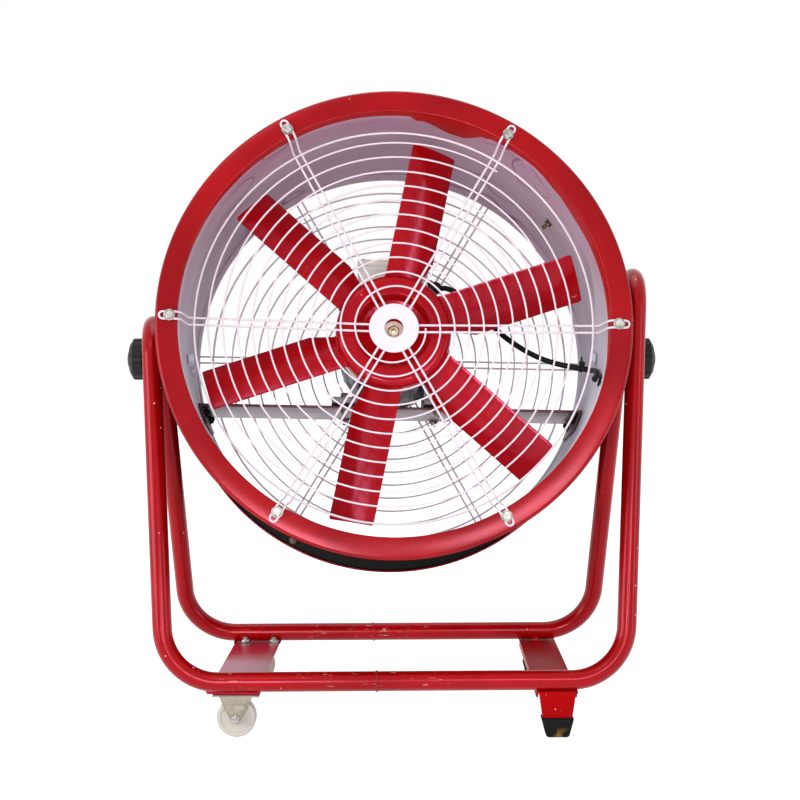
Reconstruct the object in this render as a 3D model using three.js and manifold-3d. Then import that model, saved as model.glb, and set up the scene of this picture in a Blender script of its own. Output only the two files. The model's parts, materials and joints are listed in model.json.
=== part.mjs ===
// A portable drum fan: a steel drum with rim rings, spiral wire guards and a six-blade impeller on
// a foot-mounted motor, tilting between the legs of a bent tube stand that has two fixed casters
// on the left and two rubber shoes on the right.
// Millimetres, +Z up. The origin is on the floor under the middle of the drum. The front is -Y.
import * as THREE from "three";
import { mergeVertices } from "three/addons/utils/BufferGeometryUtils.js";
import Module from "manifold-3d";

const wasm = await Module();
wasm.setup();

// Fits
const seatGap = 0.3;
const boltPlay = 0.4;
const cutOver = 3;
const mergeStep = 0.0005;

// Facets and steps of round forms
const drumFacets = 42;
const hubFacets = 24;
const bossFacets = 24;
const motorFacets = 20;
const wheelFacets = 20;
const guardDiscFacets = 18;
const boreFacets = 16;
const smallFacets = 12;
const boltFacets = 8;
const hexSides = 6;
const guardRingFacets = 32;
const tubeSides = 12;
const wireSides = 5;
const cableSides = 8;
const cornerSteps = 6;
const hairpinSteps = 10;
const rimBendSteps = 2;
const hubBendSteps = 2;
const loopTurnSteps = 3;
const bladeSteps = 6;
const cableSteps = 22;

// Drum: a rolled shell with a pressed ring in each mouth
const shellBore = 307.5;
const shellWall = 2.2;
const rimWidth = 29.5;
const rimRadius = shellBore + rimWidth;
const rimSheet = 2;
const collarDepth = 30;
const lipDepth = 13;
const rimBend = 5;

// How the drum hangs in the stand
const tiltDegrees = 12.3;
const clockDegrees = 1.2;
const pivotHeight = 525;
const pivotAhead = 21;
const axisRise = 28.2;

// Trunnions
const trunnionLength = 150;
const trunnionHeight = 62;
const trunnionPlate = 5;
const trunnionBossRadius = 20;
const pivotBoltRadius = 6;
const pivotHeadRadius = 10.5;
const pivotHeadHeight = 8;
const washerRadius = 19;
const washerThickness = 2.5;

// Casters
const casterPlateSheet = 3;
const casterPlateMargin = 3;
const casterPlateOverhang = 2;
const casterInset = 8;
const casterOffset = 2.75;
const casterShift = 2.25;
const bracketSheet = 2.5;
const bracketPlateLength = 66;
const bracketPlateWidth = 44;
const earTopWidth = 47;
const earKneeWidth = 40;
const earKneeDrop = 10;
const earTipRadius = 7;
const wheelRadius = 27.4;
const wheelRoom = 3.1;
const wheelWidth = 20;
const wheelHubRadius = 10;
const wheelRecess = 1.5;
const wheelTread = 6.4;
const wheelChamfer = 2;
const axleRadius = 4;
const axleHeadRadius = 6.5;
const axleHeadHeight = 4.5;

// Stand tubes: the bars lie on the caster plate, and the legs clear the rims
const tubeRadius = 14;
const casterHeight = 2 * wheelRadius + wheelRoom + bracketSheet;
const barHeight = casterHeight + casterPlateSheet + 2 * seatGap + tubeRadius;
const barHalfSpread = 172;
const legClearance = 0.6;
const legSplay = 27.6;
const pivotHalfWidth = rimRadius + tubeRadius + legClearance;
const footHalfWidth = pivotHalfWidth - legSplay;
const hairpinRadius = 57;
const leftRise = 64.5;
const rightRise = 135;
const cornerRadius = 80;
const weldOffset = -26.6;

// Pivot plates welded between the legs
const pivotPlateHeight = 56;
const pivotPlateThickness = 5;

// Knobs
const knobRadius = 31;
const knobHead = 16;
const knobDome = 8;
const knobDomeShares = [[1, 0.25], [0.8, 0.67], [0.355, 1]];
const knobNeckRadius = 14;
const knobNeckLength = 15;
const knobFluteCount = 14;
const knobFluteDepth = 1.8;
const knobBoreDepth = 30;

// Guards: a spiral wire welded on six looped spokes with an outer ring and a centre disc
const wireRadius = 1.3;
const spokeRadius = 1.6;
const guardRingInset = 22.5;
const guardRingRadius = shellBore - guardRingInset;
const guardDiscRadius = 36;
const guardHoleRadius = 13.7;
const guardDiscSheet = 2;
const spiralDiscGap = 9.6;
const spiralRingGap = 12.5;
const spiralStart = guardDiscRadius + spiralDiscGap;
const spiralEnd = guardRingRadius - spiralRingGap;
const spiralTurns = 10.84;
const spiralNeighbours = 6;
const spiralSag = 2.5;
const loopHalfGap = 5;
const loopMargin = 5;
const loopEnd = rimRadius - loopMargin;
const joggleRun = 8;
const joggleShare = 1.5;
const spokeLap = 12;
const weldBite = 0.5;
const spokeCount = 6;
const guardRecess = 39;
const guardDish = 21;
const frontGuard = { recess: guardRecess, dish: guardDish };
const rearGuard = { recess: -(spokeRadius + seatGap), dish: 0 };

// Impeller, behind the front guard
const bladeCount = 6;
const bladePhaseDegrees = 18;
const guardRoom = 33;
const bladePlane = guardRecess + guardDish + guardRoom;
const tipClearance = 23.5;
const bladeTip = shellBore - tipClearance;
const bladeChord = 75;
const bladeLead = 7;
const bladeSheet = 3;
const bladePitchDegrees = 31;
const bladeCamber = 5;
const bladeCornerRadius = 4;
const bladeRootCut = 34;
const bladeRootNarrow = 17;
const hubRadius = 84;
const hubBend = 11;
const hubFaceRadius = hubRadius - hubBend;
const hubFaceWidth = 18;
const hubDishFlare = 6;
const hubDishRadius = hubFaceRadius - hubFaceWidth - hubDishFlare;
const hubFront = 17;
const hubBack = 31;
const hubDishDepth = 14;
const hubWall = 4;

// Shaft and its bolt
const shaftRadius = 12;
const hubBossWall = 12;
const hubBossRadius = shaftRadius + hubBossWall;
const shaftBoltHead = 9.3;
const shaftBoltHeight = 7;
const shaftBoltRadius = 5;
const shaftBoltDepth = 22;
const shaftWasherRadius = 16;
const shaftWasherThickness = 3;

// Motor, behind the hub, on feet at the height of its shaft
const shaftHeight = 90;
const padThickness = 4;
const hubRoom = 6;
const shieldNoseStep = 5;
const motorFront = bladePlane + hubBack + shieldNoseStep + hubRoom;
const shieldThickness = 15;
const footHoleSpan = 100;
const footEnd = 9;
const footLength = footHoleSpan + 2 * footEnd;
const frameOverhang = 44;
const frameLength = footLength + frameOverhang;
const motorBack = motorFront + 2 * shieldThickness + frameLength;
const finRoom = 8;
const finDepth = 7;
const finTipRadius = shaftHeight - finRoom;
const frameRootRadius = finTipRadius - finDepth;
const finCount = 20;
const finShare = 0.36;
const finSlopeShare = 0.06;
const frameWall = 7;
const statorWall = 22;
const airGap = 1;
const statorMargin = 18;
const bearingRadius = 26;
const bearingWidth = 14;
const shieldInset = 2;
const shieldRadius = finTipRadius - shieldInset;
const shieldNoseRadius = 34;
const footSetback = 42;
const footFirst = shieldThickness + footSetback;
const footInset = 12;
const footHalfSpacing = finTipRadius - footInset;
const footWidth = 40;
const footThickness = 10;
const footWeb = 9;
const motorBoltRadius = 4;
const motorBoltHead = 7.5;
const motorBoltHeadHeight = 5.5;
const motorRearRoom = 17.5;
const drumLength = motorBack + motorRearRoom;

// Motor plate across the drum, under the motor's feet
const plateFrontMargin = 2;
const plateRearMargin = 3;
const plateFront = motorFront + footFirst - plateFrontMargin;
const plateDepth = plateFrontMargin + footLength + plateRearMargin;
const plateSheet = 4;
const plateFlange = 34;

// Terminal box on the motor, gland and inside cable
const boxHalfWidth = 53;
const boxSetback = 37;
const boxFront = motorFront + boxSetback;
const boxLength = 96;
const boxSink = 22;
const boxBottom = finTipRadius - boxSink;
const boxHeight = 63;
const boxTop = boxBottom + boxHeight;
const boxCorner = 9;
const lidSheet = 6;
const lidLip = 1.5;
const glandDrop = 26;
const glandHeight = boxTop - glandDrop;
const glandHexRadius = 13;
const glandHexLength = 9;
const glandDomeRadius = 10;
const glandDomeLength = 13;
const cableRadius = 4.2;
const grommetRadius = 9;
const grommetHole = 6.5;
const grommetFlange = 2;
const grommetDepth = 48;
const grommetDegrees = -13.8;

// Left cross plate
const casterPlateInset = 103;
const casterPlateX = casterPlateInset - footHalfWidth;
const casterPlateSkewDegrees = -2.6;
const casterPlateWidth = bracketPlateLength + 2 * casterPlateMargin;
const crossOverhang = 12;
const crossHalfLength = barHalfSpread + crossOverhang;

// Right cross channel and shoes
const channelInset = 91;
const channelX = footHalfWidth - channelInset;
const channelSkewDegrees = -1.8;
const channelWidth = 58;
const channelSheet = 3;
const channelFlange = 12;
const legTopWidth = 52;
const legBottomWidth = 38;
const legDepth = 16;
const shoeTop = 27;
const shoeTopWidth = 46;
const shoeBottomWidth = 34;
const shoeLength = 26;
const shoeFloor = 12;
const shoeCorner = 5;

const tilt = THREE.MathUtils.degToRad(tiltDegrees);
const drumCentreBehind = pivotAhead * Math.cos(tilt) + axisRise * Math.sin(tilt);
const shellOuter = shellBore + shellWall;
const collarInner = shellBore - seatGap - rimSheet;
const shellClear = shellBore * Math.cos(Math.PI / drumFacets);
const plateTop = -(shaftHeight + padThickness + 2 * seatGap);

// Finishes
const finish = {
  redPaint: paint(0xa8141c, 0.28, 0.05),
  blackPaint: paint(0x1f1a18, 0.5, 0.1),
  zinc: paint(0xb4afa9, 0.4, 0.85),
  whiteWire: paint(0xf6eef3, 0.4, 0),
  motorGrey: paint(0x8f9294, 0.5, 0.2),
  cream: paint(0xd9d9c9, 0.5, 0),
  blackPlastic: paint(0x1b1b1c, 0.45, 0),
  rubber: paint(0x1d1c1b, 0.8, 0),
  nylon: paint(0xd0c8c0, 0.5, 0),
  steel: paint(0xb9b2a8, 0.3, 0.95),
  core: paint(0x55585c, 0.5, 0.7),
};

function paint(color, roughness, metalness) {
  return new THREE.MeshStandardMaterial({ color, roughness, metalness });
}

// A path through chosen stations. Each station is one ring of the tube that follows it.
class Route extends THREE.Curve {
  constructor(stations) {
    super();
    this.stations = stations;
  }
  getPoint(t, target = new THREE.Vector3()) {
    const at = t * (this.stations.length - 1);
    const i = Math.min(Math.floor(at), this.stations.length - 2);
    return target.copy(this.stations[i]).lerp(this.stations[i + 1], at - i);
  }
  getPointAt(u, target) {
    return this.getPoint(u, target);
  }
  getTangentAt(u, target = new THREE.Vector3()) {
    const last = this.stations.length - 1;
    const i = Math.round(u * last);
    const before = this.stations[Math.max(i - 1, 0)];
    const after = this.stations[Math.min(i + 1, last)];
    return target.copy(after).sub(before).normalize();
  }
}

function vector(x, y, z) {
  return new THREE.Vector3(x, y, z);
}

function polygon(points) {
  return new THREE.Shape(points.map(([x, y]) => new THREE.Vector2(x, y)));
}

function circleShape(radius, sides, phase = 0) {
  const points = [];
  for (let i = 0; i < sides; i++) {
    const angle = phase + (2 * Math.PI * i) / sides;
    points.push([radius * Math.cos(angle), radius * Math.sin(angle)]);
  }
  return polygon(points);
}

// A rod along stations, with flat ends.
function rod(stations, radius, sides) {
  return new THREE.ExtrudeGeometry(circleShape(radius, sides), {
    steps: stations.length - 1,
    bevelEnabled: false,
    extrudePath: new Route(stations),
  });
}

function slab(shape, thickness) {
  return new THREE.ExtrudeGeometry(shape, { depth: thickness, bevelEnabled: false, curveSegments: 4 });
}

// A body turned about Y from points [radius, y], listed anticlockwise.
function turned(points, facets) {
  const onAxis = points[0][0] === 0;
  const loop = onAxis ? points : [...points, points[0]];
  return new THREE.LatheGeometry(loop.map(([r, y]) => new THREE.Vector2(r, y)), facets);
}

// The corner radius of a faceted hole whose flats clear a round of the given radius.
function holeRadius(radius, facets) {
  return (radius + seatGap) / Math.cos(Math.PI / facets);
}

function drumY(radius, from, to, facets) {
  return turned([[0, from], [radius, from], [radius, to], [0, to]], facets);
}

function drumX(radius, from, to, facets) {
  return drumY(radius, from, to, facets).rotateZ(-Math.PI / 2);
}

function drumZ(radius, from, to, facets) {
  return drumY(radius, from, to, facets).rotateX(Math.PI / 2);
}

function block(low, high) {
  const size = high.clone().sub(low);
  const middle = high.clone().add(low).multiplyScalar(0.5);
  return new THREE.BoxGeometry(size.x, size.y, size.z).translate(middle.x, middle.y, middle.z);
}

function solidOf(geometry) {
  const plain = geometry.clone();
  plain.deleteAttribute("normal");
  plain.deleteAttribute("uv");
  const merged = mergeVertices(plain, mergeStep);
  return new wasm.Manifold(
    new wasm.Mesh({
      numProp: 3,
      vertProperties: merged.attributes.position.array,
      triVerts: new Uint32Array(merged.index.array),
    }),
  );
}

function geometryOf(solid) {
  const mesh = solid.getMesh();
  const geometry = new THREE.BufferGeometry();
  geometry.setAttribute("position", new THREE.BufferAttribute(mesh.vertProperties, 3));
  geometry.setIndex(new THREE.BufferAttribute(mesh.triVerts, 1));
  const flat = geometry.toNonIndexed();
  flat.computeVertexNormals();
  return flat;
}

function joined(...geometries) {
  return geometries.map(solidOf).reduce((sum, next) => sum.add(next));
}

function cutBy(base, ...cutters) {
  return geometryOf(cutters.map(solidOf).reduce((rest, next) => rest.subtract(next), solidOf(base)));
}

function add(parent, name, geometry, material) {
  const mesh = new THREE.Mesh(geometry, material);
  mesh.name = name;
  parent.add(mesh);
  return mesh;
}

// Where the straight legs end and the hairpin starts, in the side view of the stand.
function hairpin(top) {
  const centre = top - tubeRadius - hairpinRadius;
  const rise = centre - barHeight;
  const lean =
    Math.atan2(barHalfSpread, rise) - Math.asin(hairpinRadius / Math.hypot(barHalfSpread, rise));
  return { centre, lean };
}

function legHalfWidth(z) {
  const share = (z - barHeight) / (pivotHeight - barHeight);
  return footHalfWidth + (pivotHalfWidth - footHalfWidth) * share;
}

// Stations round a corner that starts and ends at one distance from it.
function corner(before, at, after, radius, steps) {
  const inward = before.clone().sub(at).normalize();
  const outward = after.clone().sub(at).normalize();
  const half = inward.angleTo(outward) / 2;
  const reach = radius / Math.tan(half);
  const bisector = inward.clone().add(outward).normalize();
  const centre = at.clone().addScaledVector(bisector, radius / Math.sin(half));
  const start = at.clone().addScaledVector(inward, reach).sub(centre);
  const end = at.clone().addScaledVector(outward, reach).sub(centre);
  const sweep = start.angleTo(end);
  const axis = start.clone().cross(end).normalize();
  const stations = [];
  for (let i = 0; i <= steps; i++) {
    const arm = start.clone().applyAxisAngle(axis, (sweep * i) / steps);
    stations.push(centre.clone().add(arm));
  }
  return stations;
}

// Half of the stand: front bar, corner, front leg, hairpin, rear leg, corner, rear bar.
function standStations(side, top) {
  const { centre, lean } = hairpin(top);
  const barEnd = weldOffset + (side * seatGap) / 2;
  const over = [];
  for (let i = 0; i <= hairpinSteps; i++) {
    const angle = Math.PI - lean - ((Math.PI - 2 * lean) * i) / hairpinSteps;
    const y = hairpinRadius * Math.cos(angle);
    const z = centre + hairpinRadius * Math.sin(angle);
    over.push(vector(side * legHalfWidth(z), y, z));
  }
  const ends = [-1, 1].map((back) => {
    const bar = vector(barEnd, back * barHalfSpread, barHeight);
    const foot = vector(side * footHalfWidth, back * barHalfSpread, barHeight);
    const leg = back < 0 ? over[0] : over[over.length - 1];
    return { bar, bend: corner(bar, foot, leg, cornerRadius, cornerSteps) };
  });
  return [ends[0].bar, ...ends[0].bend, ...over, ...ends[1].bend.reverse(), ends[1].bar];
}

function standTube(parent, side, top, name) {
  const tube = rod(standStations(side, top), tubeRadius, tubeSides);
  add(parent, "stand_tube_" + name, tube, finish.redPaint);
}

// The plate welded between a pair of legs, with the hole that the pivot bolt turns in.
function pivotPlate(parent, side, top, name) {
  const inner = side * pivotHalfWidth - pivotPlateThickness / 2;
  const outer = inner + pivotPlateThickness;
  const plate = block(
    vector(inner, -barHalfSpread, pivotHeight - pivotPlateHeight / 2),
    vector(outer, barHalfSpread, pivotHeight + pivotPlateHeight / 2),
  );
  const hole = drumX(pivotBoltRadius + boltPlay, inner - cutOver, outer + cutOver, bossFacets);
  hole.translate(0, 0, pivotHeight);
  const tube = rod(standStations(side, top), tubeRadius + seatGap, tubeSides);
  const pieces = solidOf(plate).subtract(solidOf(hole)).subtract(solidOf(tube)).decompose();
  const middle = pieces.find((piece) => {
    const { min, max } = piece.boundingBox();
    return min[1] < 0 && max[1] > 0;
  });
  add(parent, "pivot_plate_" + name, geometryOf(middle), finish.redPaint);
}

const barUnderside = barHeight - tubeRadius - seatGap;
const casterTop = casterHeight;

function crossPlate(parent) {
  const reach = barHalfSpread + casterPlateOverhang;
  const low = vector(-casterPlateWidth / 2, -reach, barUnderside - casterPlateSheet);
  const high = vector(casterPlateWidth / 2, reach, barUnderside);
  add(parent, "caster_plate", block(low, high), finish.redPaint);
}

// One cheek of a caster bracket, seen along its axle.
function earShape(axleDrop) {
  const shape = new THREE.Shape();
  const knee = -earKneeDrop;
  shape.moveTo(-earTopWidth / 2, 0);
  shape.lineTo(-earKneeWidth / 2, knee);
  shape.absarc(0, -axleDrop, earTipRadius, (7 * Math.PI) / 6, (11 * Math.PI) / 6, false);
  shape.lineTo(earKneeWidth / 2, knee);
  shape.lineTo(earTopWidth / 2, 0);
  return shape;
}

function casterBracket(parent, side, name) {
  const axleDrop = casterTop - wheelRadius;
  const cheekInner = wheelWidth / 2 + 2 * seatGap + wheelRecess;
  const edges = [side * (cheekInner + bracketSheet), (-side * bracketPlateWidth) / 2];
  const top = block(
    vector(-bracketPlateLength / 2, Math.min(...edges), -bracketSheet),
    vector(bracketPlateLength / 2, Math.max(...edges), 0),
  );
  const cheeks = [-1, 1].map((side) => {
    const from = side < 0 ? cheekInner : -cheekInner - bracketSheet;
    const cheek = slab(earShape(axleDrop), bracketSheet).rotateX(Math.PI / 2);
    return cheek.translate(0, from + bracketSheet, 0);
  });
  const reach = cheekInner + bracketSheet + cutOver;
  const hole = drumY(axleRadius + seatGap, -reach, reach, boreFacets).translate(0, 0, -axleDrop);
  const body = joined(top, ...cheeks).subtract(solidOf(hole));
  add(parent, "caster_bracket_" + name, geometryOf(body), finish.zinc);
  return cheekInner + bracketSheet;
}

function casterWheel(parent, name) {
  const half = wheelWidth / 2;
  const dish = half - wheelRecess;
  const bore = axleRadius + seatGap;
  const hub = half + wheelRecess;
  const treadInner = wheelRadius - wheelTread;
  const profile = [
    [bore, -hub], [wheelHubRadius, -hub], [wheelHubRadius, -dish], [treadInner, -dish],
    [wheelRadius - wheelChamfer, -half], [wheelRadius, -half + wheelChamfer],
    [wheelRadius, half - wheelChamfer], [wheelRadius - wheelChamfer, half],
    [treadInner, dish], [wheelHubRadius, dish], [wheelHubRadius, hub], [bore, hub],
  ];
  add(parent, "caster_wheel_" + name, turned(profile, wheelFacets), finish.nylon);
}

function casterAxle(parent, cheekOuter, name) {
  const seat = cheekOuter + seatGap;
  const end = seat + axleHeadHeight;
  const shank = drumY(axleRadius, -seat - seatGap, seat + seatGap, boreFacets);
  const head = drumY(axleHeadRadius, -end, -seat, hexSides);
  const nut = drumY(axleHeadRadius, seat, end, hexSides);
  add(parent, "caster_axle_" + name, geometryOf(joined(shank, head, nut)), finish.steel);
}

function leftBase(stand) {
  const base = new THREE.Group();
  base.position.x = casterPlateX;
  base.rotation.z = THREE.MathUtils.degToRad(casterPlateSkewDegrees);
  stand.add(base);
  crossPlate(base);
  for (const [name, side] of [["front", -1], ["rear", 1]]) {
    const caster = new THREE.Group();
    const place = vector(casterOffset, side * (barHalfSpread - casterInset), casterTop);
    place.x -= side * casterShift;
    caster.position.copy(place);
    base.add(caster);
    const cheekOuter = casterBracket(caster, side, name);
    const axle = new THREE.Group();
    axle.position.z = wheelRadius - casterTop;
    caster.add(axle);
    casterWheel(axle, name);
    casterAxle(axle, cheekOuter, name);
  }
}

// A strip of sheet between two widths, standing in the X-Z plane.
function taperedStrip(topHalf, bottomHalf, top, bottom, sheet, depth) {
  const outline = polygon([
    [topHalf - sheet, top], [topHalf, top], [bottomHalf, bottom], [bottomHalf - sheet, bottom],
  ]);
  return slab(outline, depth).rotateX(Math.PI / 2).translate(0, depth, 0);
}

function channelLeg(side) {
  const top = barUnderside;
  const foot = shoeFloor + seatGap;
  const face = polygon([
    [-legTopWidth / 2, top], [-legBottomWidth / 2, foot], [legBottomWidth / 2, foot], [legTopWidth / 2, top],
  ]);
  const front = slab(face, channelSheet).rotateX(Math.PI / 2).translate(0, channelSheet, 0);
  const right = taperedStrip(legTopWidth / 2, legBottomWidth / 2, top, foot, channelSheet, legDepth);
  const left = right.clone().rotateZ(Math.PI).translate(0, legDepth, 0);
  const leg = [front, right, left];
  if (side > 0) leg.forEach((piece) => piece.rotateZ(Math.PI));
  leg.forEach((piece) => piece.translate(0, side * crossHalfLength, 0));
  return leg;
}

function footChannel(parent) {
  const half = channelWidth / 2;
  const web = block(
    vector(-half, -crossHalfLength, barUnderside - channelSheet),
    vector(half, crossHalfLength, barUnderside),
  );
  const flanges = [-1, 1].map((side) => {
    const edge = side * half;
    const inner = edge - side * channelSheet;
    return block(
      vector(Math.min(edge, inner), -crossHalfLength + legDepth, barUnderside - channelFlange),
      vector(Math.max(edge, inner), crossHalfLength - legDepth, barUnderside),
    );
  });
  const body = joined(web, ...flanges, ...channelLeg(-1), ...channelLeg(1));
  add(parent, "foot_channel", geometryOf(body), finish.redPaint);
}

function shoeOutline() {
  const shape = new THREE.Shape();
  const low = shoeBottomWidth / 2;
  shape.moveTo(-shoeTopWidth / 2, shoeTop);
  shape.lineTo(-low - shoeCorner / 2, shoeCorner);
  shape.quadraticCurveTo(-low, 0, -low + shoeCorner, 0);
  shape.lineTo(low - shoeCorner, 0);
  shape.quadraticCurveTo(low, 0, low + shoeCorner / 2, shoeCorner);
  shape.lineTo(shoeTopWidth / 2, shoeTop);
  return shape;
}

function rubberShoe(parent, side, name) {
  const body = slab(shoeOutline(), shoeLength).rotateX(Math.PI / 2);
  const wall = (shoeLength - legDepth) / 2;
  const middle = side * (crossHalfLength - legDepth / 2);
  body.translate(0, middle + shoeLength / 2, 0);
  const widthAt = (z) =>
    legBottomWidth + ((legTopWidth - legBottomWidth) * (z - shoeFloor)) / (barUnderside - shoeFloor);
  const rim = shoeTop + cutOver;
  const pocketShape = polygon([
    [-widthAt(rim) / 2 - seatGap, rim], [-legBottomWidth / 2 - seatGap, shoeFloor],
    [legBottomWidth / 2 + seatGap, shoeFloor], [widthAt(rim) / 2 + seatGap, rim],
  ]);
  const pocketDepth = shoeLength - 2 * wall + 2 * seatGap;
  const pocket = slab(pocketShape, pocketDepth).rotateX(Math.PI / 2);
  pocket.translate(0, middle + pocketDepth / 2, 0);
  add(parent, "rubber_shoe_" + name, cutBy(body, pocket), finish.rubber);
}

function rightBase(stand) {
  const base = new THREE.Group();
  base.position.x = channelX;
  base.rotation.z = THREE.MathUtils.degToRad(channelSkewDegrees);
  stand.add(base);
  footChannel(base);
  rubberShoe(base, -1, "front");
  rubberShoe(base, 1, "rear");
}

function makeStand() {
  const stand = new THREE.Group();
  stand.position.y = -drumCentreBehind;
  const sides = [["left", -1, pivotHeight + leftRise], ["right", 1, pivotHeight + rightRise]];
  for (const [name, side, top] of sides) {
    standTube(stand, side, top, name);
    pivotPlate(stand, side, top, name);
  }
  leftBase(stand);
  rightBase(stand);
  return stand;
}

// The shell's rolled wall, with the holes for the two pivot bolts and the cable.
function drumShell(duct) {
  const from = rimSheet + seatGap;
  const to = drumLength - rimSheet - seatGap;
  const section = [[shellBore, from], [shellOuter, from], [shellOuter, to], [shellBore, to]];
  const wall = turned(section, drumFacets);
  const pivotHole = drumX(pivotBoltRadius + boltPlay, -rimRadius, rimRadius, boreFacets);
  pivotHole.translate(0, drumLength / 2 - pivotAhead, -axisRise);
  const cableHole = drumX(grommetHole + seatGap, 0, rimRadius, boreFacets);
  cableHole.rotateY(-THREE.MathUtils.degToRad(grommetDegrees - clockDegrees));
  cableHole.translate(0, grommetDepth, 0);
  add(duct, "drum_shell", cutBy(wall, pivotHole, cableHole), finish.zinc);
}

// A pressed ring: collar inside the shell, flat face, rolled outer lip.
function rimRing(duct, name, flip) {
  const outer = rimRadius;
  const inner = outer - rimSheet;
  const arc = [];
  for (let i = 0; i <= rimBendSteps; i++) {
    const angle = ((Math.PI / 2) * i) / rimBendSteps;
    arc.push([Math.sin(angle), 1 - Math.cos(angle)]);
  }
  const face = arc.map(([s, c]) => [outer - rimBend + rimBend * s, rimBend * c]);
  const back = arc.map(([s, c]) => [
    outer - rimBend + (rimBend - rimSheet) * s,
    rimSheet + (rimBend - rimSheet) * c,
  ]);
  const profile = [
    [collarInner, collarDepth], [collarInner, rimSheet], [collarInner + rimSheet, 0],
    ...face, [outer, lipDepth], [inner, lipDepth], ...back.reverse().slice(1),
    [collarInner + rimSheet, rimSheet], [collarInner + rimSheet, collarDepth],
  ];
  const ring = new THREE.Group();
  if (flip) {
    ring.position.y = drumLength;
    ring.rotation.z = Math.PI;
  }
  duct.add(ring);
  add(ring, "rim_ring_" + name, turned(profile, drumFacets), finish.redPaint);
}

// The plate and boss outside the shell that carry the drum on its pivot bolt.
function trunnion(drum, side, name) {
  const bossEnd = pivotHalfWidth - pivotPlateThickness / 2 - 2 * seatGap - washerThickness;
  const plate = block(
    vector(shellOuter - shellWall - trunnionPlate, -trunnionLength / 2, -trunnionHeight / 2),
    vector(shellOuter + trunnionPlate, trunnionLength / 2, trunnionHeight / 2),
  );
  const boss = drumX(trunnionBossRadius, shellBore - trunnionPlate, bossEnd, bossFacets);
  const hole = drumX(pivotBoltRadius + boltPlay / 2, 0, bossEnd + cutOver, boreFacets);
  const wall = drumY(shellOuter + seatGap, -trunnionLength, trunnionLength, 2 * drumFacets);
  wall.translate(0, 0, axisRise);
  const body = joined(plate, boss).subtract(solidOf(hole)).subtract(solidOf(wall));
  const mesh = add(drum, "trunnion_" + name, geometryOf(body), finish.blackPaint);
  if (side < 0) mesh.rotation.z = Math.PI;
}

function pivotBolt(drum, side, name) {
  const seat = Math.sqrt(shellClear ** 2 - (axisRise + pivotHeadRadius) ** 2) - seatGap;
  const end = knobStart() + knobBoreDepth - cutOver;
  const head = drumX(pivotHeadRadius, seat - pivotHeadHeight, seat, hexSides);
  const shank = drumX(pivotBoltRadius, seat - seatGap, end, boreFacets);
  const mesh = add(drum, "pivot_bolt_" + name, geometryOf(joined(head, shank)), finish.steel);
  if (side < 0) mesh.rotation.z = Math.PI;
}

function pivotWasher(drum, side, name) {
  const to = pivotHalfWidth - pivotPlateThickness / 2 - seatGap;
  const bore = holeRadius(pivotBoltRadius, smallFacets);
  const ring = turned([
    [bore, to - washerThickness], [washerRadius, to - washerThickness], [washerRadius, to], [bore, to],
  ], smallFacets);
  const mesh = add(drum, "pivot_washer_" + name, ring.rotateZ(-Math.PI / 2), finish.nylon);
  if (side < 0) mesh.rotation.z = Math.PI;
}

function knobStart() {
  return pivotHalfWidth + pivotPlateThickness / 2 + seatGap;
}

function flutedOutline() {
  const points = [];
  const perFlute = 3;
  for (let i = 0; i < knobFluteCount * perFlute; i++) {
    const angle = (2 * Math.PI * i) / (knobFluteCount * perFlute);
    const low = i % perFlute === 0;
    const radius = knobRadius - (low ? knobFluteDepth : 0);
    points.push([radius * Math.cos(angle), radius * Math.sin(angle)]);
  }
  return polygon(points);
}

// A fluted clamping knob with a domed face, turned on the end of the pivot bolt.
function knob(drum, side, name) {
  const start = knobStart();
  const headFrom = start + knobNeckLength;
  const headTo = headFrom + knobHead;
  const neck = drumX(knobNeckRadius, start, headFrom + cutOver, smallFacets);
  const head = slab(flutedOutline(), knobHead).rotateY(Math.PI / 2).translate(headFrom, 0, 0);
  const shoulder = knobRadius - 2 * knobFluteDepth;
  const cone = knobDomeShares.map(([across, up]) => [shoulder * across, headTo + knobDome * up]);
  const dome = turned([
    [0, headTo - cutOver], [shoulder, headTo - cutOver], ...cone, [0, headTo + knobDome],
  ], knobFluteCount).rotateZ(-Math.PI / 2);
  const boreRadius = holeRadius(pivotBoltRadius, smallFacets);
  const bore = drumX(boreRadius, start - cutOver, start + knobBoreDepth, smallFacets);
  const body = joined(neck, head, dome).subtract(solidOf(bore));
  const mesh = add(drum, "knob_" + name, geometryOf(body), finish.blackPlastic);
  if (side < 0) mesh.rotation.z = Math.PI;
}

// How far inside the rim a guard's spokes lie: a dished guard lies deepest at its disc.
function spokeDepth(form, radius) {
  const share = (guardRingRadius - radius) / (guardRingRadius - guardDiscRadius);
  return form.recess + form.dish * share;
}

// The spiral's turns, with steps that keep each chord equally close to the curve.
function spiralStations(form) {
  const ahead = spokeRadius + wireRadius + seatGap;
  const stations = [];
  const full = 2 * Math.PI * spiralTurns;
  let angle = 0;
  while (angle < full) {
    const radius = spiralStart + ((spiralEnd - spiralStart) * angle) / full;
    const depth = spokeDepth(form, radius) - ahead;
    stations.push(vector(radius * Math.cos(angle), depth, -radius * Math.sin(angle)));
    angle += 2 * Math.acos(1 - spiralSag / radius);
  }
  const depth = spokeDepth(form, spiralEnd) - ahead;
  stations.push(vector(spiralEnd * Math.cos(full), depth, -spiralEnd * Math.sin(full)));
  return stations;
}

// The least gap between the spiral's turns, measured between its stations a turn or more apart.
function spiralGap() {
  const stations = spiralStations(frontGuard);
  let least = Infinity;
  for (let i = 0; i < stations.length; i++) {
    for (let j = i + spiralNeighbours; j < stations.length; j++) {
      least = Math.min(least, stations[i].distanceTo(stations[j]));
    }
  }
  return least - 2 * wireRadius;
}

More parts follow.
